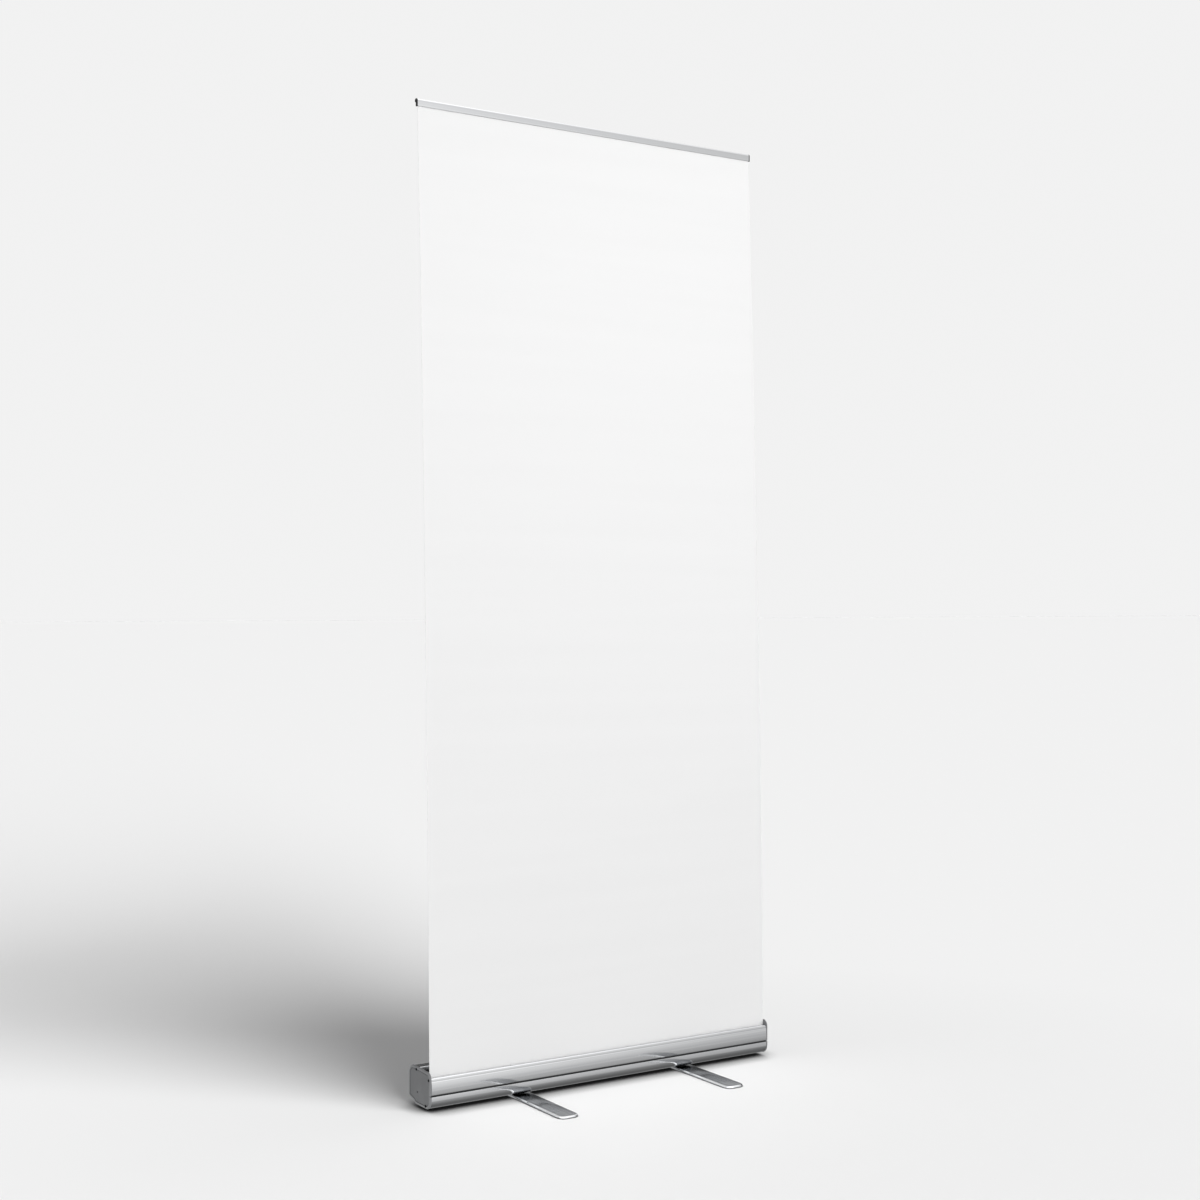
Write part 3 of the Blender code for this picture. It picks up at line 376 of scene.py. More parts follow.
def shade(mesh, angle=32.0):
    """Smooth faces, with edges sharper than the angle kept crisp."""
    mesh.polygons.foreach_set("use_smooth", np.ones(len(mesh.polygons), bool))
    mesh.set_sharp_from_angle(angle=math.radians(angle))
    mesh.update()


def piece(name, shells, finish, body, replaces=(), angle=32.0):
    """An object at the origin from closed shells, with its finish, its body and the CAD nodes
    that it stands for."""
    mesh = mesh_of(name, shells)
    shade(mesh, angle)
    obj = bpy.data.objects.new(name, mesh)
    bpy.context.scene.collection.objects.link(obj)
    mesh.materials.append(finish)
    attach(obj, body)
    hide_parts(*replaces)
    return obj


def size_mm(obj):
    """The piece's extents in mm, to print."""
    points = np.empty(len(obj.data.vertices) * 3, np.float32)
    obj.data.vertices.foreach_get("co", points)
    points = points.reshape(-1, 3)
    return [round(float(v) * 1000, 1) for v in np.ptp(points, axis=0)]


# %% [markdown]
# ## Rounded corners
# Most of these pieces are drawn as a designer draws them, as corners with a radius each. One function
# rounds all the corners of an outline at once, with the same number of points in every arc, so that an
# outline and its inset copy always match point for point and can be joined by quads.

# %% Outlines
def unit(vectors):
    return vectors / np.linalg.norm(vectors, axis=-1, keepdims=True)


def rounded(corners, arc_points=9):
    """Corners (a, b, radius) as one line of points. The arc's centre lies on the corner's bisector at
    radius / sin(half angle), its ends lie radius / tan(half angle) along the two sides, and the points
    between turn evenly about that centre."""
    corners = np.asarray(corners, float)
    here, radius = corners[:, :2], np.maximum(corners[:, 2:], 1e-5)
    before, after = unit(np.roll(here, 1, axis=0) - here), unit(np.roll(here, -1, axis=0) - here)
    half = np.arccos(np.clip((before * after).sum(axis=1, keepdims=True), -1, 1)) / 2
    centre = here + unit(before + after) * radius / np.sin(half)
    start, end = (here + side * radius / np.tan(half) - centre for side in (before, after))
    sign = np.sign(start[:, :1] * end[:, 1:] - start[:, 1:] * end[:, :1])
    sweep = sign * (np.pi - 2 * half) * np.linspace(0, 1, arc_points)
    turn = np.arctan2(start[:, 1:], start[:, :1]) + sweep
    ring = centre[:, None, :] + radius[:, None] * np.stack([np.cos(turn), np.sin(turn)], axis=-1)
    return ring.reshape(-1, 2)


def inset(corners, depth, least=0.0002):
    """The same anticlockwise corners moved inwards by depth. Each moves along the sum of its two inward
    normals, and its radius shrinks by depth, or grows by it where the outline bends the other way."""
    corners = np.asarray(corners, float)
    here = corners[:, :2]
    before, after = unit(here - np.roll(here, 1, axis=0)), unit(np.roll(here, -1, axis=0) - here)
    normals = np.stack([-before[:, 1] - after[:, 1], before[:, 0] + after[:, 0]], axis=1)
    shift = normals * 2 * depth / (normals ** 2).sum(axis=1, keepdims=True)
    bends_in = before[:, 0] * after[:, 1] - before[:, 1] * after[:, 0] < 0
    radius = np.where(bends_in, corners[:, 2] + depth, np.maximum(corners[:, 2] - depth, least))
    return np.column_stack([here + shift, radius])


def piled(rings, wrap=False):
    """A closed shell from rings of points, each (n, 3), joined in turn. The first and the last are
    filled with one face each, or joined to one another when wrap is set."""
    rings = np.asarray(rings)
    rows, columns = rings.shape[:2]
    faces = [grid_faces(rows, columns, wrap_rows=wrap, wrap_columns=True)]
    if not wrap:
        faces.append(np.arange(columns)[None, ::-1])
        faces.append((np.arange(columns) + (rows - 1) * columns)[None])
    return shell(rings, faces)


def along_x(outline, stations):
    """An outline of (y, z) at each x, as rings."""
    x = np.broadcast_to(np.asarray(stations, float)[:, None, None], (len(stations), len(outline), 1))
    section = np.broadcast_to(outline, (len(stations), *outline.shape))
    return np.concatenate([x, section], axis=2)


def walled(outer, inner, stations):
    """A wall between two matching open lines in (y, z), carried along X. The section runs out along the
    outer line and back along the inner one, and its two end faces are strips of quads between them."""
    section = np.vstack([outer, inner[::-1]])
    rings = along_x(section, stations)
    count, half = len(section), len(outer)
    i = np.arange(half - 1)
    strip = np.stack([i, i + 1, count - 2 - i, count - 1 - i], axis=1)
    sides = grid_faces(len(stations), count, wrap_columns=True)
    return shell(rings, [sides, strip[:, ::-1], strip + (len(stations) - 1) * count])


TO_AXIS = {
    "Z": np.array([[1, 0, 0], [0, 1, 0], [0, 0, 1.0]]),
    "X": np.array([[0, 0, 1], [1, 0, 0], [0, 1, 0.0]]),
    "-X": np.array([[0, 0, -1], [-1, 0, 0], [0, 1, 0.0]]),
    "Y": np.array([[0, 1, 0], [0, 0, 1], [1, 0, 0.0]]),
}


def placed(points, centre, axis="Z"):
    """Points about the Z axis, turned onto another axis and moved to their centre."""
    return points @ TO_AXIS[axis].T + np.asarray(centre, float)


def turned(profile, centre, axis="Z", sides=64):
    """A closed shell from (radius, height) points turned about an axis: x = r cos a, y = r sin a. A
    profile that starts and ends on the axis is filled there, and any other is joined into a ring."""
    profile = np.asarray(profile, float)
    angle = np.arange(sides) * 2 * np.pi / sides
    r, h = profile[:, :1], profile[:, 1:]
    rings = np.stack([r * np.cos(angle), r * np.sin(angle), np.broadcast_to(h, (len(r), sides))], axis=-1)
    solid = profile[0, 0] < 1e-6
    rings = placed(rings[1:-1] if solid else rings, centre, axis)
    return piled(rings, wrap=not solid)


def tube(bore, radius, low, high, centre, axis="Z", edge=0.0003, sides=64):
    """A tube with a small chamfer on each of its four edges."""
    profile = [
        (bore, low + edge), (bore + edge, low), (radius - edge, low), (radius, low + edge),
        (radius, high - edge), (radius - edge, high), (bore + edge, high), (bore, high - edge),
    ]
    return turned(profile, centre, axis, sides)


def carve(obj, shells, name="cutter"):
    """Cuts closed shells out of a piece and keeps the result as its mesh. Points that lie together, as
    in the arc of a square corner, are merged first, because the cut needs clean faces."""
    clean = bmesh.new()
    clean.from_mesh(obj.data)
    bmesh.ops.remove_doubles(clean, verts=clean.verts, dist=0.00002)
    clean.to_mesh(obj.data)
    clean.free()
    cutter = bpy.data.objects.new(name, mesh_of(name, shells))
    bpy.context.scene.collection.objects.link(cutter)
    step = obj.modifiers.new("cut", "BOOLEAN")
    step.object, step.operation, step.solver = cutter, "DIFFERENCE", "EXACT"
    graph = bpy.context.evaluated_depsgraph_get()
    finished = bpy.data.meshes.new_from_object(obj.evaluated_get(graph))
    obj.modifiers.clear()
    obj.data = finished
    bpy.data.objects.remove(cutter)
    shade(finished)


print("an outline of 4 corners has", len(rounded([(0, 0, 1), (4, 0, 1), (4, 4, 1), (0, 4, 1)])), "points")

# %% [markdown]
# ## Cassette profile
# The cassette is one aluminium extrusion, open along its top. Its front ends in a round lip with a screw
# channel inside, and has a crowned upper band, a narrow groove and a lower band that rolls under. A black
# strip in the groove is painted shade: it stands for the dark line of the groove's own shadow. Both faces
# of the wall are drawn as corners, the outer one with its radii and the inner one by an inset, and the
# section between them is carried along X.

# %% Cassette profile
FRONT, REAR = -0.0287, 0.0644
UNDER, TOP = 0.0068, 0.0832
WALL = 0.0018
MOUTH_REAR = 0.0296
LIP, LIP_RADIUS, LIP_BORE = np.array((-0.0234, 0.0664)), 0.0046, 0.0017
CREASE = 0.0630
GROOVE_TOP, GROOVE_BOTTOM, GROOVE_DEPTH = 0.0367, 0.0329, 0.0025
PORT_RADIUS = 0.0040
SCREWS = np.array([(0.0306, 0.0780), LIP, (-0.0097, 0.0120)])
POLE = (0.0, 0.0440)
LOWER_TUBE = 0.0090
half_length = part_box("cassette_profile")[1].x


def lip_corners(radius):
    """Corners that carry a circle of this radius round the lip's centre, from its open end below, round
    the back and over the top to the front."""
    open_end = np.radians(-120)
    first = LIP + radius * np.array([np.cos(open_end), np.sin(open_end)])
    lead_in = np.radians(-105)
    lead = LIP + radius / np.cos(np.radians(15)) * np.array([np.cos(lead_in), np.sin(lead_in)])
    square = LIP + radius * np.array([(1, -1), (1, 1), (-1, 1)])
    return np.column_stack([np.vstack([first, lead, square]), [0, radius, radius, radius, radius]])


outer = np.vstack([
    lip_corners(LIP_RADIUS),
    (LIP[0] - LIP_RADIUS, CREASE + 0.0007, 0.0005),
    (FRONT, CREASE - 0.0005, 0.0006),
    (FRONT - 0.0012, (CREASE + GROOVE_TOP) / 2, 0.115),
    (FRONT, GROOVE_TOP, 0.0004),
    (FRONT + GROOVE_DEPTH, GROOVE_TOP, 0.0003),
    (FRONT + GROOVE_DEPTH, GROOVE_BOTTOM, 0.0003),
    (FRONT, GROOVE_BOTTOM, 0.0005),
    (FRONT, UNDER, 0.0186),
    (0.0344, UNDER, 0.002),
    (0.0416, 0.0116, 0.003),
    (REAR, 0.0176, 0.009),
    (REAR, TOP, 0.020),
    (MOUTH_REAR, TOP, 0.0),
])
inner = inset(outer, WALL)
inner[:5] = lip_corners(LIP_BORE)
inner[-1] = (MOUTH_REAR, TOP - WALL, 0.0)
outer_line, inner_line = rounded(outer, 13), rounded(inner, 13)
print("section:", len(outer_line), "points on each face of the wall")


def open_port(centre, radius, bore, opening):
    """A screw channel: a C of 300 degrees, whose gap faces the direction opening."""
    angle = np.linspace(np.radians(30), np.radians(330), 29) + opening
    ring = np.stack([np.cos(angle), np.sin(angle)], axis=1)
    return walled(centre + radius * ring, centre + bore * ring, (-half_length, half_length))


stations = np.array([-1, -0.5, -0.1, -0.045, -0.03, 0.03, 0.045, 0.1, 0.5, 1.0]) * half_length
cassette = piece(
    "cassette_profile_drawn", [walled(outer_line, inner_line, stations)],
    ANODISED_X, "base", ["cassette_profile"],
)
carve(cassette, [turned([(0, TOP - 0.02), (LOWER_TUBE + 0.0006, TOP - 0.02),
                         (LOWER_TUBE + 0.0006, TOP + 0.01), (0, TOP + 0.01)], (*POLE, 0))])
channels = piece(
    "cassette_screw_channels",
    [open_port(SCREWS[0], PORT_RADIUS, LIP_BORE, np.radians(-100)),
     open_port(SCREWS[2], PORT_RADIUS, LIP_BORE, np.radians(80))],
    ANODISED_X, "base",
)
# A black strip in the groove: painted shade, a dark piece put where the groove's own shadow falls.
shade_strip_low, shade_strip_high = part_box("front_trim")
shade_strip_line = rounded([(shade_strip_low.y, shade_strip_low.z, 0.0005), (shade_strip_high.y, shade_strip_low.z, 0.0001),
                     (shade_strip_high.y, shade_strip_high.z, 0.0001), (shade_strip_low.y, shade_strip_high.z, 0.0005)], 5)
piece("groove_painted_shade_strip", [piled(along_x(shade_strip_line, stations * shade_strip_high.x / half_length))], BLACK,
      "base", ["front_trim"])
print("cassette", size_mm(cassette), "mm")

# %% [markdown]
# ## End caps
# Each end is closed by a moulded cap with a smooth raised rim, three screws and one small hole, where a
# pin holds the sprung roller while the film is changed. A cap is a pile of outlines, each a little further
# out and a little smaller: the foot, the side, the rounded edge, the rim, a relief groove and the recessed
# face. The holes are cut out of it, and a seat for the axle stands on its inner side.

# %% End caps
CAP_PROUD, CAP_BROW, CAP_RIM, CAP_POCKET = 0.0005, 0.0812, 0.0050, 0.0007
CAP_EDGE, RELIEF_WIDTH, RELIEF_DEPTH = 0.0024, 0.0013, 0.0010
LOCK_HOLE = (0.0273, 0.0322)
ROLLER = (-0.00005, 0.0450)
CAP_IN, CAP_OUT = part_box("end_cap_right")[0].x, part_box("end_cap_right")[1].x
CAP_INNER = half_length + 0.0003
cap_corners = np.array([
    (FRONT - CAP_PROUD, UNDER - CAP_PROUD, 0.0186),
    (0.0344, UNDER - CAP_PROUD, 0.002),
    (0.0416, 0.0116 - CAP_PROUD, 0.003),
    (REAR + CAP_PROUD, 0.0176 - CAP_PROUD, 0.009),
    (REAR + CAP_PROUD, TOP + CAP_PROUD, 0.020),
    (MOUTH_REAR, TOP + CAP_PROUD, 0.0006),
    (FRONT - CAP_PROUD, CAP_BROW, 0.014),
])


def cap_shells(side):
    """Rings at (inset, x): a quarter turn of radius CAP_EDGE rounds the outer edge, then come the flat
    rim, the relief groove inside it and the recessed face."""
    turn = np.linspace(0, np.pi / 2, 8)
    rows = [(0.0004, CAP_INNER), (0.0, CAP_INNER + 0.0004)]
    rows += list(zip(CAP_EDGE * (1 - np.cos(turn)), CAP_OUT - CAP_EDGE + CAP_EDGE * np.sin(turn)))
    face = CAP_OUT - CAP_POCKET
    rows += [(CAP_RIM - 0.0003, CAP_OUT), (CAP_RIM, CAP_OUT - 0.0003), (CAP_RIM, face - RELIEF_DEPTH),
             (CAP_RIM + RELIEF_WIDTH, face - RELIEF_DEPTH), (CAP_RIM + RELIEF_WIDTH + 0.0002, face)]
    rings = [along_x(rounded(inset(cap_corners, depth), 13), [side * x])[0] for depth, x in rows]
    return [piled(rings)]


face_x = CAP_OUT - CAP_POCKET
for name, side in (("left", -1), ("right", 1)):
    cap = piece(f"end_cap_{name}_moulded", cap_shells(side), CAP_GREY, "base",
                [f"end_cap_{name}"])
    cutters = [turned([(0, -0.01), (0.0022, -0.01), (0.0022, 0.01), (0, 0.01)],
                      (side * face_x, *LOCK_HOLE), "X", 24)]
    seat_low, seat_high = sorted((side * (face_x - 0.0001), side * (CAP_OUT + 0.002)))
    cutters += [turned([(0, seat_low), (0.0031, seat_low), (0.0031, seat_high), (0, seat_high)],
                       (0, y, z), "X", 32) for y, z in SCREWS]
    notch = np.array([(FRONT - 0.004, GROOVE_BOTTOM), (FRONT + GROOVE_DEPTH, GROOVE_BOTTOM),
                      (FRONT + GROOVE_DEPTH, GROOVE_TOP), (FRONT - 0.004, GROOVE_TOP)])
    cutters.append(piled(along_x(notch, np.array([-0.01, 0.01]) + side * CAP_OUT)))
    carve(cap, cutters)
    # The faces beyond the recessed face, which are the rim and its rounded edge, take the paler grey as a
    # painted highlight.
    cap.data.materials.append(PAINTED_LIT_RIM_GREY)
    middles = np.empty(len(cap.data.polygons) * 3, np.float32)
    cap.data.polygons.foreach_get("center", middles)
    painted_rim_highlight = np.abs(middles.reshape(-1, 3)[:, 0]) > face_x + 0.0002
    cap.data.polygons.foreach_set("material_index", painted_rim_highlight.astype(np.int32))
    seat = sorted((side * (CAP_INNER - 0.005), side * (CAP_INNER + 0.001)))
    piece(f"end_cap_{name}_axle_seat", [tube(0.0043, 0.0085, *seat, (0, *ROLLER), "X")], CAP_GREY, "base")
    print(cap.name, size_mm(cap), "mm")

# %% [markdown]
# ## Screws
# The caps and the pole's socket are held by small pan-head screws with a cross recess. The head is a low
# dome on a polar grid, and the cross is pressed into it by a smooth step in depth, so the recess has
# sloping walls as a punched one has.

# %% Screws
def screw_shell(seat, axis, radius=0.0028, height=0.0014, shank=0.0014, length=0.0140):
    """The dome's height falls from its middle as height * (1 - 0.45 (r / radius) ** 4). The cross is the
    union of two bars, with a depth that fades over a tenth of a millimetre at its edges."""
    sides, rows = 48, 14
    angle = np.arange(sides) * 2 * np.pi / sides
    r = np.linspace(0.0, radius, rows)[1:, None]
    x, y = r * np.cos(angle), r * np.sin(angle)
    bar = np.maximum(np.minimum(np.abs(x), np.abs(y)) - 0.00036, np.maximum(np.abs(x), np.abs(y)) - 0.0016)
    recess = 0.0009 * np.clip(0.5 - bar / 0.00015, 0, 1)
    z = height * (1 - 0.45 * (r / radius) ** 4) - recess
    dome = np.stack([x, y, z], axis=-1)
    side_rings = [(radius, 0.0), (shank, 0.0), (shank, -length + 0.002), (0.0002, -length)]
    body = np.stack([np.stack([q * np.cos(angle), q * np.sin(angle), np.full(sides, h)], axis=-1)
                     for q, h in side_rings])
    rings = placed(np.concatenate([dome, body]), seat, axis)
    return piled(rings)


seat_x = CAP_OUT - CAP_POCKET + 0.0003
for name, side, axis in (("left", -1, "-X"), ("right", 1, "X")):
    for i, (y, z) in enumerate(SCREWS):
        piece(f"cap_screw_{name}_{i + 1}_pan_head", [screw_shell((side * seat_x, y, z), axis)],
              BLACKENED, "base", [f"cap_screw_{name}_{i + 1}"])
    piece(f"socket_screw_{name}_pan_head", [screw_shell((side * 0.0115, REAR + 0.0003, 0.036), "Y")],
          BLACKENED, "base", [f"socket_screw_{name}"])
print("8 screws of", len(bpy.data.meshes["cap_screw_left_1_pan_head"].polygons), "faces")

# %% [markdown]
# ## Roller, axle and spring
# Inside the cassette a thin tube turns on a plug at each end. The right plug is tied to a torsion spring,
# whose other end is held by a shaft that the cap stops from turning, and the spring draws the film in.
# These are turned profiles, and the spring is a small circle carried along a helix.

# %% Roller, axle and spring
centre = (0.0, *ROLLER)
half_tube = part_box("roller_tube")[1].x
piece("roller_tube_drawn", [tube(0.0148, 0.0160, -half_tube, half_tube, centre, "X")],
      ANODISED_X, "roller", ["roller_tube"])

leader_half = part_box("leader_roll")[1].x
turns = np.linspace(0.0163, 0.0173, 7)
piece("leader_roll_wound",
      [tube(a + 0.00002, b - 0.00002, -leader_half + 0.0002 * (i % 2), leader_half - 0.0002 * (i % 2),
            centre, "X", edge=0.00003)
       for i, (a, b) in enumerate(zip(turns, turns[1:]))],
      FILM_ROLLED, "roller", ["leader_roll"])

for name, axis in (("left", "-X"), ("right", "X")):
    inside = half_tube + 0.0003
    profile = [
        (0.0043, inside + 0.0016), (0.0047, inside + 0.002), (0.0156, inside + 0.002),
        (0.016, inside + 0.0016),
        (0.016, inside + 0.0001), (0.0158, inside), (0.0145, inside), (0.0145, inside - 0.0155),
        (0.014, inside - 0.016), (0.0047, inside - 0.016), (0.0043, inside - 0.0156),
    ]
    piece(f"roller_plug_{name}_moulded", [turned(profile, centre, axis)], BLACK, "roller",
          [f"roller_plug_{name}"])


def rod(node, radius, edge=0.0004):
    """A solid rod along X with chamfered ends, as long as its CAD node."""
    low, high = (corner.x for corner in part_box(node))
    profile = [(0, low), (radius - edge, low), (radius, low + edge), (radius, high - edge),
               (radius - edge, high), (0, high)]
    return turned(profile, centre, "X", 48)


piece("idle_axle_turned", [rod("idle_axle", 0.0040)], ZINC, "base", ["idle_axle"])
piece("spring_shaft_turned", [rod("spring_shaft", 0.0040)], ZINC, "base", ["spring_shaft"])
low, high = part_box("spring_anchor")
piece("spring_anchor_moulded", [tube(0.0043, 0.0100, low.x, high.x, centre, "X")],
      BLACK, "base", ["spring_anchor"])


def helix_shell(low, high, radius, wire, turns=9, steps=40, sides=12):
    """A circle of radius wire carried along a helix about the roller's axis. At turn a the centre is
    (x, radius cos a, radius sin a), and the circle lies in the outward direction and along X."""
    a = np.linspace(0, 2 * np.pi * turns, turns * steps + 1)[:, None]
    b = np.arange(sides) * 2 * np.pi / sides
    x = low + (high - low) * a / a[-1] + wire * np.sin(b)
    reach = radius + wire * np.cos(b)
    rings = np.stack([x, ROLLER[0] + reach * np.cos(a), ROLLER[1] + reach * np.sin(a)], axis=-1)
    return piled(rings)


low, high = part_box("torsion_spring")
piece("torsion_spring_wound", [helix_shell(low.x + 0.0009, high.x - 0.0009, 0.0085, 0.0009)],
      BLACKENED, "base", ["torsion_spring"])
print("roller tube", round(2000 * half_tube, 1), "mm long")

# %% [markdown]
# ## Banner film
# The film leaves the roller behind the cassette's lip, leans back to the rail and bows forward a little
# at half height, as a film hung on a leaning pole does. It is one closed sheet half a millimetre thick:
# a front line and a back line in (y, z), carried across the width in steps so that its long edges can
# curl by a fraction of a millimetre. Its UV map is in metres across and along the film.

# %% Banner film
FILM_FOOT_Y, FILM_LEAN, FILM_BOW, FILM_THICK = -0.0179, 0.0536, 0.0066, 0.0005
film_low, film_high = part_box("banner_film")
rail_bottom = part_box("top_rail")[0].z
film_half = film_high.x


def film_grid(across=65, along=97):
    """The film's middle surface. With s the share of the height, y = foot + lean s - 4 bow s (1 - s),
    and within 14 mm of a long edge it curls forward by up to 0.9 mm, as (1 - distance / 14 mm) squared,
    with nothing at the lip and at the rail."""
    z = np.append(np.linspace(film_low.z, rail_bottom, along - 1), film_high.z)[:, None]
    s = np.clip((z - film_low.z) / (rail_bottom - film_low.z), 0, 1)
    u = np.linspace(-1, 1, across)
    x = film_half * np.sign(u) * (1 - (1 - np.abs(u)) ** 1.6)[None, :]
    edge = np.clip(1 - (film_half - np.abs(x)) / 0.014, 0, 1) ** 2
    held = np.clip(np.minimum(s - 0.05, 0.98 - s) / 0.15, 0, 1)
    y = FILM_FOOT_Y + FILM_LEAN * s - 4 * FILM_BOW * s * (1 - s) - 0.0009 * edge * held
    return np.stack(np.broadcast_arrays(x, y, z), axis=-1)


middle = film_grid()
rows, columns = middle.shape[:2]
slope = np.gradient(middle[:, columns // 2], axis=0)
back = np.column_stack([np.zeros(rows), slope[:, 2], -slope[:, 1]])
back = (back / np.linalg.norm(back, axis=1, keepdims=True))[:, None, :] * FILM_THICK / 2
length = np.append(0, np.cumsum(np.linalg.norm(np.diff(middle[:, columns // 2], axis=0), axis=1)))
front_side, back_side = middle - back, middle + back

loop = np.concatenate([front_side, back_side[:, ::-1]], axis=1)
total = loop.shape[1]
j = np.arange(columns - 1)
end_strip = np.stack([j, j + 1, total - 2 - j, total - 1 - j], axis=1)
film_shell = shell(loop, [grid_faces(rows, total, wrap_columns=True),
                          end_strip[:, ::-1], end_strip + (rows - 1) * total])
film = piece("banner_film_sheet", [film_shell], FILM_FRONT, "pole_top", ["banner_film"])
film.data.materials.append(FILM_BACK)
normal = np.empty(len(film.data.polygons) * 3, np.float32)
film.data.polygons.foreach_get("normal", normal)
film.data.polygons.foreach_set("material_index", (normal.reshape(-1, 3)[:, 1] > 0.5).astype(np.int32))

corner = np.empty(len(film.data.loops), np.int32)
film.data.loops.foreach_get("vertex_index", corner)
uv = np.stack([loop[..., 0], np.broadcast_to(length[:, None], loop.shape[:2])], axis=-1).reshape(-1, 2)
film.data.uv_layers.new(name="sheet").data.foreach_set("uv", uv[corner].astype(np.float32).reshape(-1))

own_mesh(film)
print("film", round(2000 * film_half), "mm wide and", round(1000 * float(length[-1])), "mm long")

# %% [markdown]
# ## Top rail
# The rail is a second extrusion: a round bead above a thin jaw, with a slot below that the film's edge
# and its keder cord sit in. The slot opens into the cord's bore, so the whole section is one closed
# outline that goes round the outside, up one wall of the slot, round the bore and down the other.

# %% Top rail
rail_low, rail_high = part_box("top_rail")
RAIL_HALF = rail_high.x
BEAD, SLOT, SLOT_DEPTH, KEDER_BORE, KEDER = 0.0041, 0.0012, 0.0092, 0.0019, 0.0015
jaw_front, jaw_back = rail_low.y, rail_low.y + 0.0044
jaw_middle = (jaw_front + jaw_back) / 2
bead_centre = np.array((rail_low.y + BEAD, rail_high.z - BEAD))
keder_centre = np.array((jaw_middle, rail_bottom + SLOT_DEPTH + KEDER))


def circle_part(middle, radius, start, end, count):
    angle = np.linspace(start, end, count)[:, None]
    return middle + radius * np.hstack([np.cos(angle), np.sin(angle)])


def rail_outside(proud=0.0):
    """The outside from the jaw's front foot, along its foot to the back, up the back to the bead, round
    the bead and down the front."""
    radius = BEAD + proud
    meets = math.asin((jaw_back + proud - bead_centre[0]) / radius)
    foot = 0.0008
    low = rail_bottom - proud
    front_foot = circle_part((jaw_front - proud + foot, low + foot), foot, np.pi, 1.5 * np.pi, 5)
    back_foot = circle_part((jaw_back + proud - foot, low + foot), foot, -np.pi / 2, 0, 5)
    bead = circle_part(bead_centre, radius, -np.pi / 2 + meets, np.pi, 40)
    return front_foot, back_foot, bead


front_foot, back_foot, bead = rail_outside()
pinch = math.asin(SLOT / 2 / KEDER_BORE)
bore = circle_part(keder_centre, KEDER_BORE, -np.pi / 2 - pinch, -2.5 * np.pi + pinch, 30)
slot_front = np.array([(jaw_middle - SLOT / 2, rail_bottom), (jaw_middle - SLOT / 2, rail_bottom + 0.004)])
slot_back = slot_front[::-1] * (1, 1) + (SLOT, 0)
rail_section = np.vstack([front_foot, slot_front, bore, slot_back, back_foot, bead])
piece("top_rail_drawn", [piled(along_x(rail_section, np.linspace(-RAIL_HALF, RAIL_HALF, 5)))],
      ANODISED_X, "pole_top", ["top_rail"])
keder_profile = [(0, -RAIL_HALF), (KEDER - 0.0003, -RAIL_HALF), (KEDER, -RAIL_HALF + 0.0003),
                 (KEDER, RAIL_HALF - 0.0003), (KEDER - 0.0003, RAIL_HALF), (0, RAIL_HALF)]
piece("rail_keder_cord", [turned(keder_profile, (0, *keder_centre), "X", 24)],
      BLACK, "pole_top", ["rail_keder"])

for name, side in (("left", -1), ("right", 1)):
    low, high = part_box(f"rail_cap_{name}")
    inside, outside = (low.x, high.x) if side > 0 else (high.x, low.x)
    rows = [(0.0001, 0.0), (0.0003, 0.0002), (0.0003, 0.0015), (0.0001, 0.0021), (-0.0003, 0.0024),
            (-0.0008, 0.0025)]
    rings = [along_x(np.vstack(rail_outside(proud)), [inside + side * depth])[0] for proud, depth in rows]
    piece(f"rail_cap_{name}_moulded", [piled(rings)], BLACK, "pole_top",
          [f"rail_cap_{name}"], angle=50)
print("rail", round(2000 * RAIL_HALF), "mm long,", round(1000 * (rail_high.z - rail_bottom), 1), "mm high")

# %% [markdown]
# ## Telescopic pole
# Three aluminium tubes slide in one another behind the film. On the mouth of each of the two lower tubes a
# collet grips the next tube when its ribbed collar is turned. The tubes are turned rings, and a collar is
# a surface of two parameters, height and angle, with ten ribs that fade out towards its rounded ends.

# %% Telescopic pole
def pole_piece(node, body, edge=0.0003):
    """A tube as its CAD node: its outer radius is half the node's width, and its wall is 1 mm."""
    low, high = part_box(node)
    radius = (high.x - low.x) / 2
    piece(f"{node}_drawn", [tube(radius - 0.001, radius, low.z, high.z, (*POLE, 0), edge=edge)],
          ANODISED_Z, body, [node])
    return radius


radii = [pole_piece("pole_lower", "base"), pole_piece("pole_middle", "pole_mid"),
         pole_piece("pole_upper", "pole_top")]
print("tube radii in mm:", [round(1000 * r, 2) for r in radii])


def collar_shell(low, high, bore, radius, lobes=10, depth=0.0005, edge=0.0016, sides=240):
    """Outer rings at height h have radius R(h) + d(h) cos(lobes a): R drops by a quarter circle within
    edge of each end, and the ribs' depth d drops with it. The bore is a plain ring inside."""
    turn = np.linspace(0, np.pi / 2, 7)
    fall = edge * (1 - np.sin(turn))
    h = np.concatenate([low + edge * (1 - np.cos(turn)), high - edge * (1 - np.cos(turn[::-1]))])
    drop = np.concatenate([fall, fall[::-1]])[:, None]
    a = np.arange(sides) * 2 * np.pi / sides
    r = radius - drop + depth * (1 - drop / edge) * np.cos(lobes * a)
    outer_rings = np.stack([r * np.cos(a), r * np.sin(a), np.broadcast_to(h[:, None], r.shape)], axis=-1)
    inner_rings = np.stack([
        np.stack([q * np.cos(a), q * np.sin(a), np.full(sides, z)], axis=-1)
        for q, z in ((bore + 0.0004, high), (bore, high - 0.0004), (bore, low + 0.0004),
                     (bore + 0.0004, low))
    ])
    rings = np.concatenate([outer_rings, inner_rings])
    return piled(placed(rings, (*POLE, 0)), wrap=True)


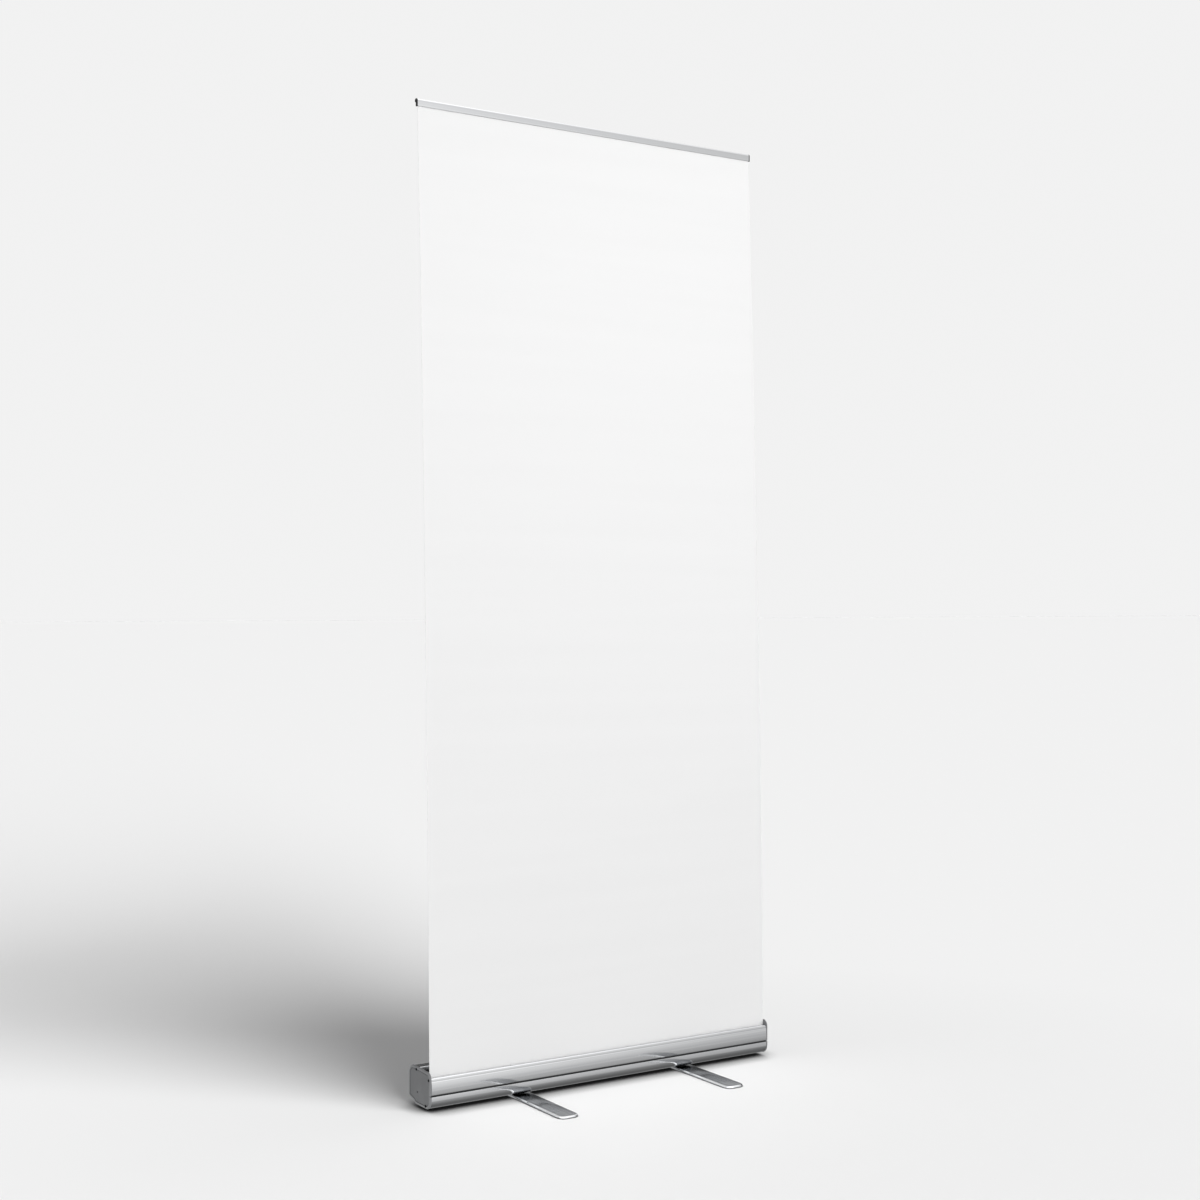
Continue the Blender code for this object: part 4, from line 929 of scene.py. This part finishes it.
for level, outer_radius, inner_radius, body, collar_body in (
    ("lower", radii[0], radii[1], "base", "collar_lower"),
    ("upper", radii[1], radii[2], "pole_mid", "collar_upper"),
):
    low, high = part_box(f"lock_collar_{level}")
    grip = outer_radius + 0.0003
    collet = grip + 0.0014
    piece(f"lock_collar_{level}_ribbed", [collar_shell(low.z, high.z, collet + 0.0003, collet + 0.0023)],
          BLACK, collar_body, [f"lock_collar_{level}"])
    mouth = high.z - 0.014
    bore = inner_radius + 0.0003
    profile = [
        (bore, high.z - 0.0024), (bore + 0.0004, high.z - 0.002), (collet - 0.0004, high.z - 0.002),
        (collet, high.z - 0.0024), (collet, low.z + 0.002), (grip, low.z + 0.002),
        (grip, mouth + 0.0003), (bore, mouth + 0.0003),
    ]
    piece(f"collet_{level}_split", [turned(profile, (*POLE, 0))], BLACK, body,
          [f"collet_{level}"])

# %% [markdown]
# ## Pole tip
# A moulded cradle on the top tube takes the rail's bead. Its section is a block with a hollow that
# follows the bead, carried across its width with softened edges, and a round plug below goes into the
# tube.

# %% Pole tip
tip_low, tip_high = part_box("pole_tip")
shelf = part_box("pole_upper")[1].z + 0.0003
hollow = BEAD + 0.0003
top_meets = math.asin((tip_high.z - bead_centre[1]) / hollow)
tip_front = jaw_back + 0.0003
low_angle = -math.acos((tip_front - bead_centre[0]) / hollow)
cradle = circle_part(bead_centre, hollow, top_meets, low_angle, 16)
tip_back = POLE[1] + radii[2]
outline = np.vstack([
    (tip_front, shelf), (tip_back, shelf),
    circle_part((tip_back - 0.0018, tip_high.z - 0.0018), 0.0018, 0, np.pi / 2, 7), cradle,
])
tip = piece("pole_tip_moulded", [
    piled(along_x(outline, (-0.008, -0.004, 0.004, 0.008))),
    turned([(0, tip_low.z), (0.0037, tip_low.z), (0.0043, tip_low.z + 0.0006), (0.0043, shelf + 0.002),
            (0, shelf + 0.002)], (*POLE, 0), sides=48),
], BLACK, "pole_top", ["pole_tip"])
soften = tip.modifiers.new("softened edges", "BEVEL")
soften.width, soften.segments = 0.0005, 2
soften.limit_method, soften.angle_limit = "ANGLE", math.radians(40)
print("tip", size_mm(tip), "mm")

# %% [markdown]
# ## Feet
# Each foot is a flat steel bar with rounded corners and a polished, rounded upper edge, painted in a paler
# steel as a painted highlight where the edge catches the light. It turns on a rivet through its middle, so
# it can be swung in line with the cassette. The bar is one closed ring of outlines: out across the
# underside, round the edge, back over the top and down the rivet's hole.

# %% Feet
FOOT_HALF = np.array((0.02375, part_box("foot_left")[1].y))
FOOT_THICK, FOOT_CORNER, FOOT_EDGE = 0.0052, 0.016, 0.0045
foot_corners = np.array([
    (-FOOT_HALF[0], -FOOT_HALF[1], FOOT_CORNER), (FOOT_HALF[0], -FOOT_HALF[1], FOOT_CORNER),
    (FOOT_HALF[0], FOOT_HALF[1], FOOT_CORNER), (-FOOT_HALF[0], FOOT_HALF[1], FOOT_CORNER),
])


def foot_shell(x):
    """Rings at (inset, height), and rings of the hole with the same angles as the outline's points."""
    turn = np.linspace(0, np.pi / 2, 7)[1:]
    rows = [(0.0006, 0.0), (0.0002, 0.0002), (0.0, 0.0006), (0.0, FOOT_THICK - FOOT_EDGE)]
    rows += list(zip(FOOT_EDGE * (1 - np.cos(turn)) * 1.1, FOOT_THICK - FOOT_EDGE * (1 - np.sin(turn))))
    outside = [np.column_stack([rounded(inset(foot_corners, d), 13), np.full(52, h)]) for d, h in rows]
    way = np.arctan2(outside[0][:, 1], outside[0][:, 0])
    circle = np.column_stack([np.cos(way), np.sin(way)])
    hole = [np.column_stack([circle * r, np.full(52, h)])
            for r, h in ((0.0043, FOOT_THICK), (0.0043, 0.0027), (0.0075, 0.0027), (0.0075, 0.0))]
    return piled(placed(np.array(outside + hole), (x, 0, 0)), wrap=True)


def painted_highlight_faces(mesh):
    """The faces that take the painted highlight: those of the rounded upper edge that look partly up and
    lie outside the rivet's hole.
    """
    normal, middle = (np.empty(len(mesh.polygons) * 3, np.float32) for _ in range(2))
    mesh.polygons.foreach_get("normal", normal)
    mesh.polygons.foreach_get("center", middle)
    up, height = normal.reshape(-1, 3)[:, 2], middle.reshape(-1, 3)[:, 2]
    return (up > 0.15) & (up < 0.985) & (height > FOOT_THICK / 4)


for name, side in (("left", -1), ("right", 1)):
    x = side * 0.207
    foot = piece(f"foot_{name}_bar", [foot_shell(x)], PLATED_BAR, f"foot_{name}",
                 [f"foot_{name}"], angle=20)
    # The upward-facing faces of the upper edge take the paler steel, a painted highlight.
    foot.data.materials.append(PAINTED_HIGHLIGHT_STEEL)
    foot.data.polygons.foreach_set("material_index", painted_highlight_faces(foot.data).astype(np.int32))
    low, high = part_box(f"pivot_rivet_{name}")
    profile = [
        (0, low.z), (0.0062, low.z), (0.0072, low.z + 0.0006), (0.0072, low.z + 0.0016),
        (0.0040, low.z + 0.0016), (0.0040, high.z - 0.0016), (0.0052, high.z - 0.0016),
        (0.0050, high.z - 0.0005), (0.0038, high.z), (0, high.z),
    ]
    piece(f"pivot_rivet_{name}_set", [turned(profile, (x, 0, 0), sides=48)], ZINC, "base",
          [f"pivot_rivet_{name}"])
    low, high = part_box(f"pivot_washer_{name}")
    piece(f"pivot_washer_{name}_moulded",
          [tube(0.0043, 0.0110, low.z, high.z, (x, 0, 0), edge=0.0002)],
          BLACK, "base", [f"pivot_washer_{name}"])
print("feet", size_mm(foot), "mm")

# %% [markdown]
# ## Socket
# The block that the pole stands in is hidden inside the cassette, and its CAD shape is right, so it only
# needs its plastic.

# %% Socket
socket = frame["nodes"]["pole_socket"]
socket.data.materials.clear()
socket.data.materials.append(BLACK)
print("socket keeps its CAD mesh of", len(socket.data.polygons), "faces")

# %% [markdown]
# ## Floor and light
# A plain pale floor runs out to a background of the same brightness, so no horizon shows. The main light
# is very wide and low, in front and a little to the right, and throws a long soft shadow back to the
# left. A white floor needs much more light than a white film that faces the lamp, so the floor and the
# stand each have a key light from the same place, linked to one of them. A soft lamp aimed high lifts the
# film's upper half. Reflections don't see the floor or the lights but a surround of their own, dark below
# and bright above, so the metal keeps its shape. The floor's colour carries a painted contact shadow close
# under the stand, and painted shade that makes it a little darker near the stand, where the film throws
# light on it.

# %% Floor and light
SKY, FILL, FILL_BELOW, FLOOR_WHITE = 0.885, 0.36, 0.70, 0.80
AHEAD = ((-1.0, 0.10), (-0.46, 0.40), (-0.25, 0.80), (0.0, 1.15), (0.40, 1.00), (0.62, 1.40), (1.0, 2.0))
BEHIND = ((-1.0, 0.10), (-0.46, 0.35), (-0.25, 0.60), (-0.05, 0.60), (0.10, 0.10), (0.42, 0.12),
          (0.58, 1.10), (1.0, 2.0))
BRIGHTEST = 2.0
FLOOR_KEY, STAND_KEY, HIGH_LAMP = 8.2, 1.40, 2.9
LAMP_PLACE, LAMP_AIM, LAMP_SPREAD = (1.6, -3.6, 2.3), (0.0, 0.0, 1.9), 60.0
floor_mesh = bpy.data.meshes.new("floor")
FLOOR_NEAR, FLOOR_FAR = 100.0, 300.0      # uneven, so that the quad's diagonal runs far from the stand
floor_mesh.from_pydata([(-FLOOR_NEAR, -FLOOR_FAR, 0), (FLOOR_FAR, -FLOOR_FAR, 0),
                        (FLOOR_FAR, FLOOR_NEAR, 0), (-FLOOR_NEAR, FLOOR_NEAR, 0)], [], [(0, 1, 2, 3)])
floor_plane = bpy.data.objects.new("floor", floor_mesh)
bpy.context.scene.collection.objects.link(floor_plane)
floor_finish, floor_tree, floor_shader = new_finish("matt white studio floor", Roughness=1.0,
                                                    Specular_IOR_Level=0.0)
# Painted shadow: the floor's colour goes dark where the stand is close above it, by ambient occlusion.
# Painted shade: it is also a little darker near the stand, against the light that the film throws there.
near = add_node(floor_tree, "ShaderNodeAmbientOcclusion", {"Distance": 0.055})
place = add_node(floor_tree, "ShaderNodeTexCoord").outputs["Object"]
away = add_node(floor_tree, "ShaderNodeVectorMath", {0: place, 1: (0.1, -0.5, 0.0)}, operation="DISTANCE")
even = spread(floor_tree, away.outputs["Value"], 0.92 * FLOOR_WHITE, FLOOR_WHITE, 0.2, 1.6)
painted_contact_shadow = spread(floor_tree, near.outputs["AO"], 0.02, 1.0, 0.16, 0.9)
white = add_node(floor_tree, "ShaderNodeMath", {0: even, 1: painted_contact_shadow}, operation="MULTIPLY")
floor_tree.links.new(white.outputs[0], floor_shader.inputs["Base Color"])
floor_mesh.materials.append(floor_finish)
floor_plane.visible_diffuse = floor_plane.visible_glossy = False
floor_plane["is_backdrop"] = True

sky = bpy.data.worlds.new("studio")
bpy.context.scene.world = sky
sky.use_nodes = True
tree = sky.node_tree
background = tree.nodes["Background"]
path = add_node(tree, "ShaderNodeLightPath")
way = add_node(tree, "ShaderNodeTexCoord").outputs["Generated"]
turn_to = add_node(tree, "ShaderNodeSeparateXYZ", {"Vector": way})
height = turn_to.outputs["Z"]
fill = add_node(tree, "ShaderNodeMapRange", {
    "Value": height, "From Min": -0.2, "From Max": 0.05, "To Min": FILL_BELOW, "To Max": FILL})
share = add_node(tree, "ShaderNodeMath", {0: height, 1: 0.5, 2: 0.5}, operation="MULTIPLY_ADD")


def by_height(strengths):
    """A strength for each height of the direction, as a ramp between the pairs (height, strength)."""
    ramp = add_node(tree, "ShaderNodeValToRGB", {"Fac": share.outputs[0]})
    stops = ramp.color_ramp.elements
    while len(stops) < len(strengths):
        stops.new(0.5)
    for stop, (z, strength) in zip(stops, strengths):
        stop.position = z / 2 + 0.5
        stop.color = (*[strength / BRIGHTEST] * 3, 1.0)
    return ramp.outputs["Color"]


ahead = spread(tree, turn_to.outputs["Y"], BRIGHTEST, 0.0, -0.35, 0.15)
behind = spread(tree, turn_to.outputs["Y"], 0.0, BRIGHTEST, -0.35, 0.15)
front_part = add_node(tree, "ShaderNodeMath", {0: by_height(AHEAD), 1: ahead}, operation="MULTIPLY")
both = add_node(tree, "ShaderNodeMath", {0: by_height(BEHIND), 1: behind, 2: front_part.outputs[0]},
                operation="MULTIPLY_ADD")
falloff = spread(tree, turn_to.outputs["X"], 1.06, 0.62, 0.40, 0.64)
mirrored = add_node(tree, "ShaderNodeMath", {0: both.outputs[0], 1: falloff}, operation="MULTIPLY")
unseen = add_node(tree, "ShaderNodeMix", {
    "Factor": path.outputs["Is Glossy Ray"], "A": fill.outputs["Result"], "B": mirrored.outputs[0]})
level = add_node(tree, "ShaderNodeMix", {
    "Factor": path.outputs["Is Camera Ray"], "A": unseen.outputs["Result"], "B": SKY})
tree.links.new(level.outputs["Result"], background.inputs["Strength"])
background.inputs["Color"].default_value = (1, 1, 1, 1)

floor_group = bpy.data.collections.new("lit as floor")
stand_group = bpy.data.collections.new("lit as stand")
floor_group.objects.link(floor_plane)
for obj in bpy.context.scene.objects:
    if obj.type == "MESH" and obj is not floor_plane:
        stand_group.objects.link(obj)


def add_light(name, kind, energy, receivers, **settings):
    light = bpy.data.lights.new(name, kind)
    light.energy = energy
    for key, value in settings.items():
        setattr(light, key, value)
    obj = bpy.data.objects.new(name, light)
    obj.light_linking.receiver_collection = receivers
    bpy.context.scene.collection.objects.link(obj)
    return obj


KEY_TURN, KEY_RISE, KEY_WIDTH = math.radians(15.5), math.radians(15.0), math.radians(62)
for name, energy, group in (("key on the floor", FLOOR_KEY, floor_group),
                            ("key on the stand", STAND_KEY, stand_group)):
    key = add_light(name, "SUN", energy, group, angle=KEY_WIDTH)
    key.rotation_euler = (math.pi / 2 - KEY_RISE, 0, KEY_TURN)
    key.visible_glossy = False

lamp = add_light("lamp aimed high", "AREA", HIGH_LAMP, stand_group, shape="DISK", size=1.2,
                 spread=math.radians(LAMP_SPREAD))
lamp.location = LAMP_PLACE
lamp.visible_glossy = False
aim = np.array(LAMP_AIM) - np.array(LAMP_PLACE)
lamp.rotation_euler = (math.atan2(np.hypot(aim[0], aim[1]), -aim[2]), 0, math.atan2(-aim[0], aim[1]))
bpy.context.scene.view_settings.view_transform = "Standard"
print("key light over", round(math.degrees(KEY_WIDTH)), "degrees, fill", FILL)

# %% Sizes, and finish
low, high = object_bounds()
print("visual box in mm:", [round(1000 * v, 1) for v in (*low, *high)])
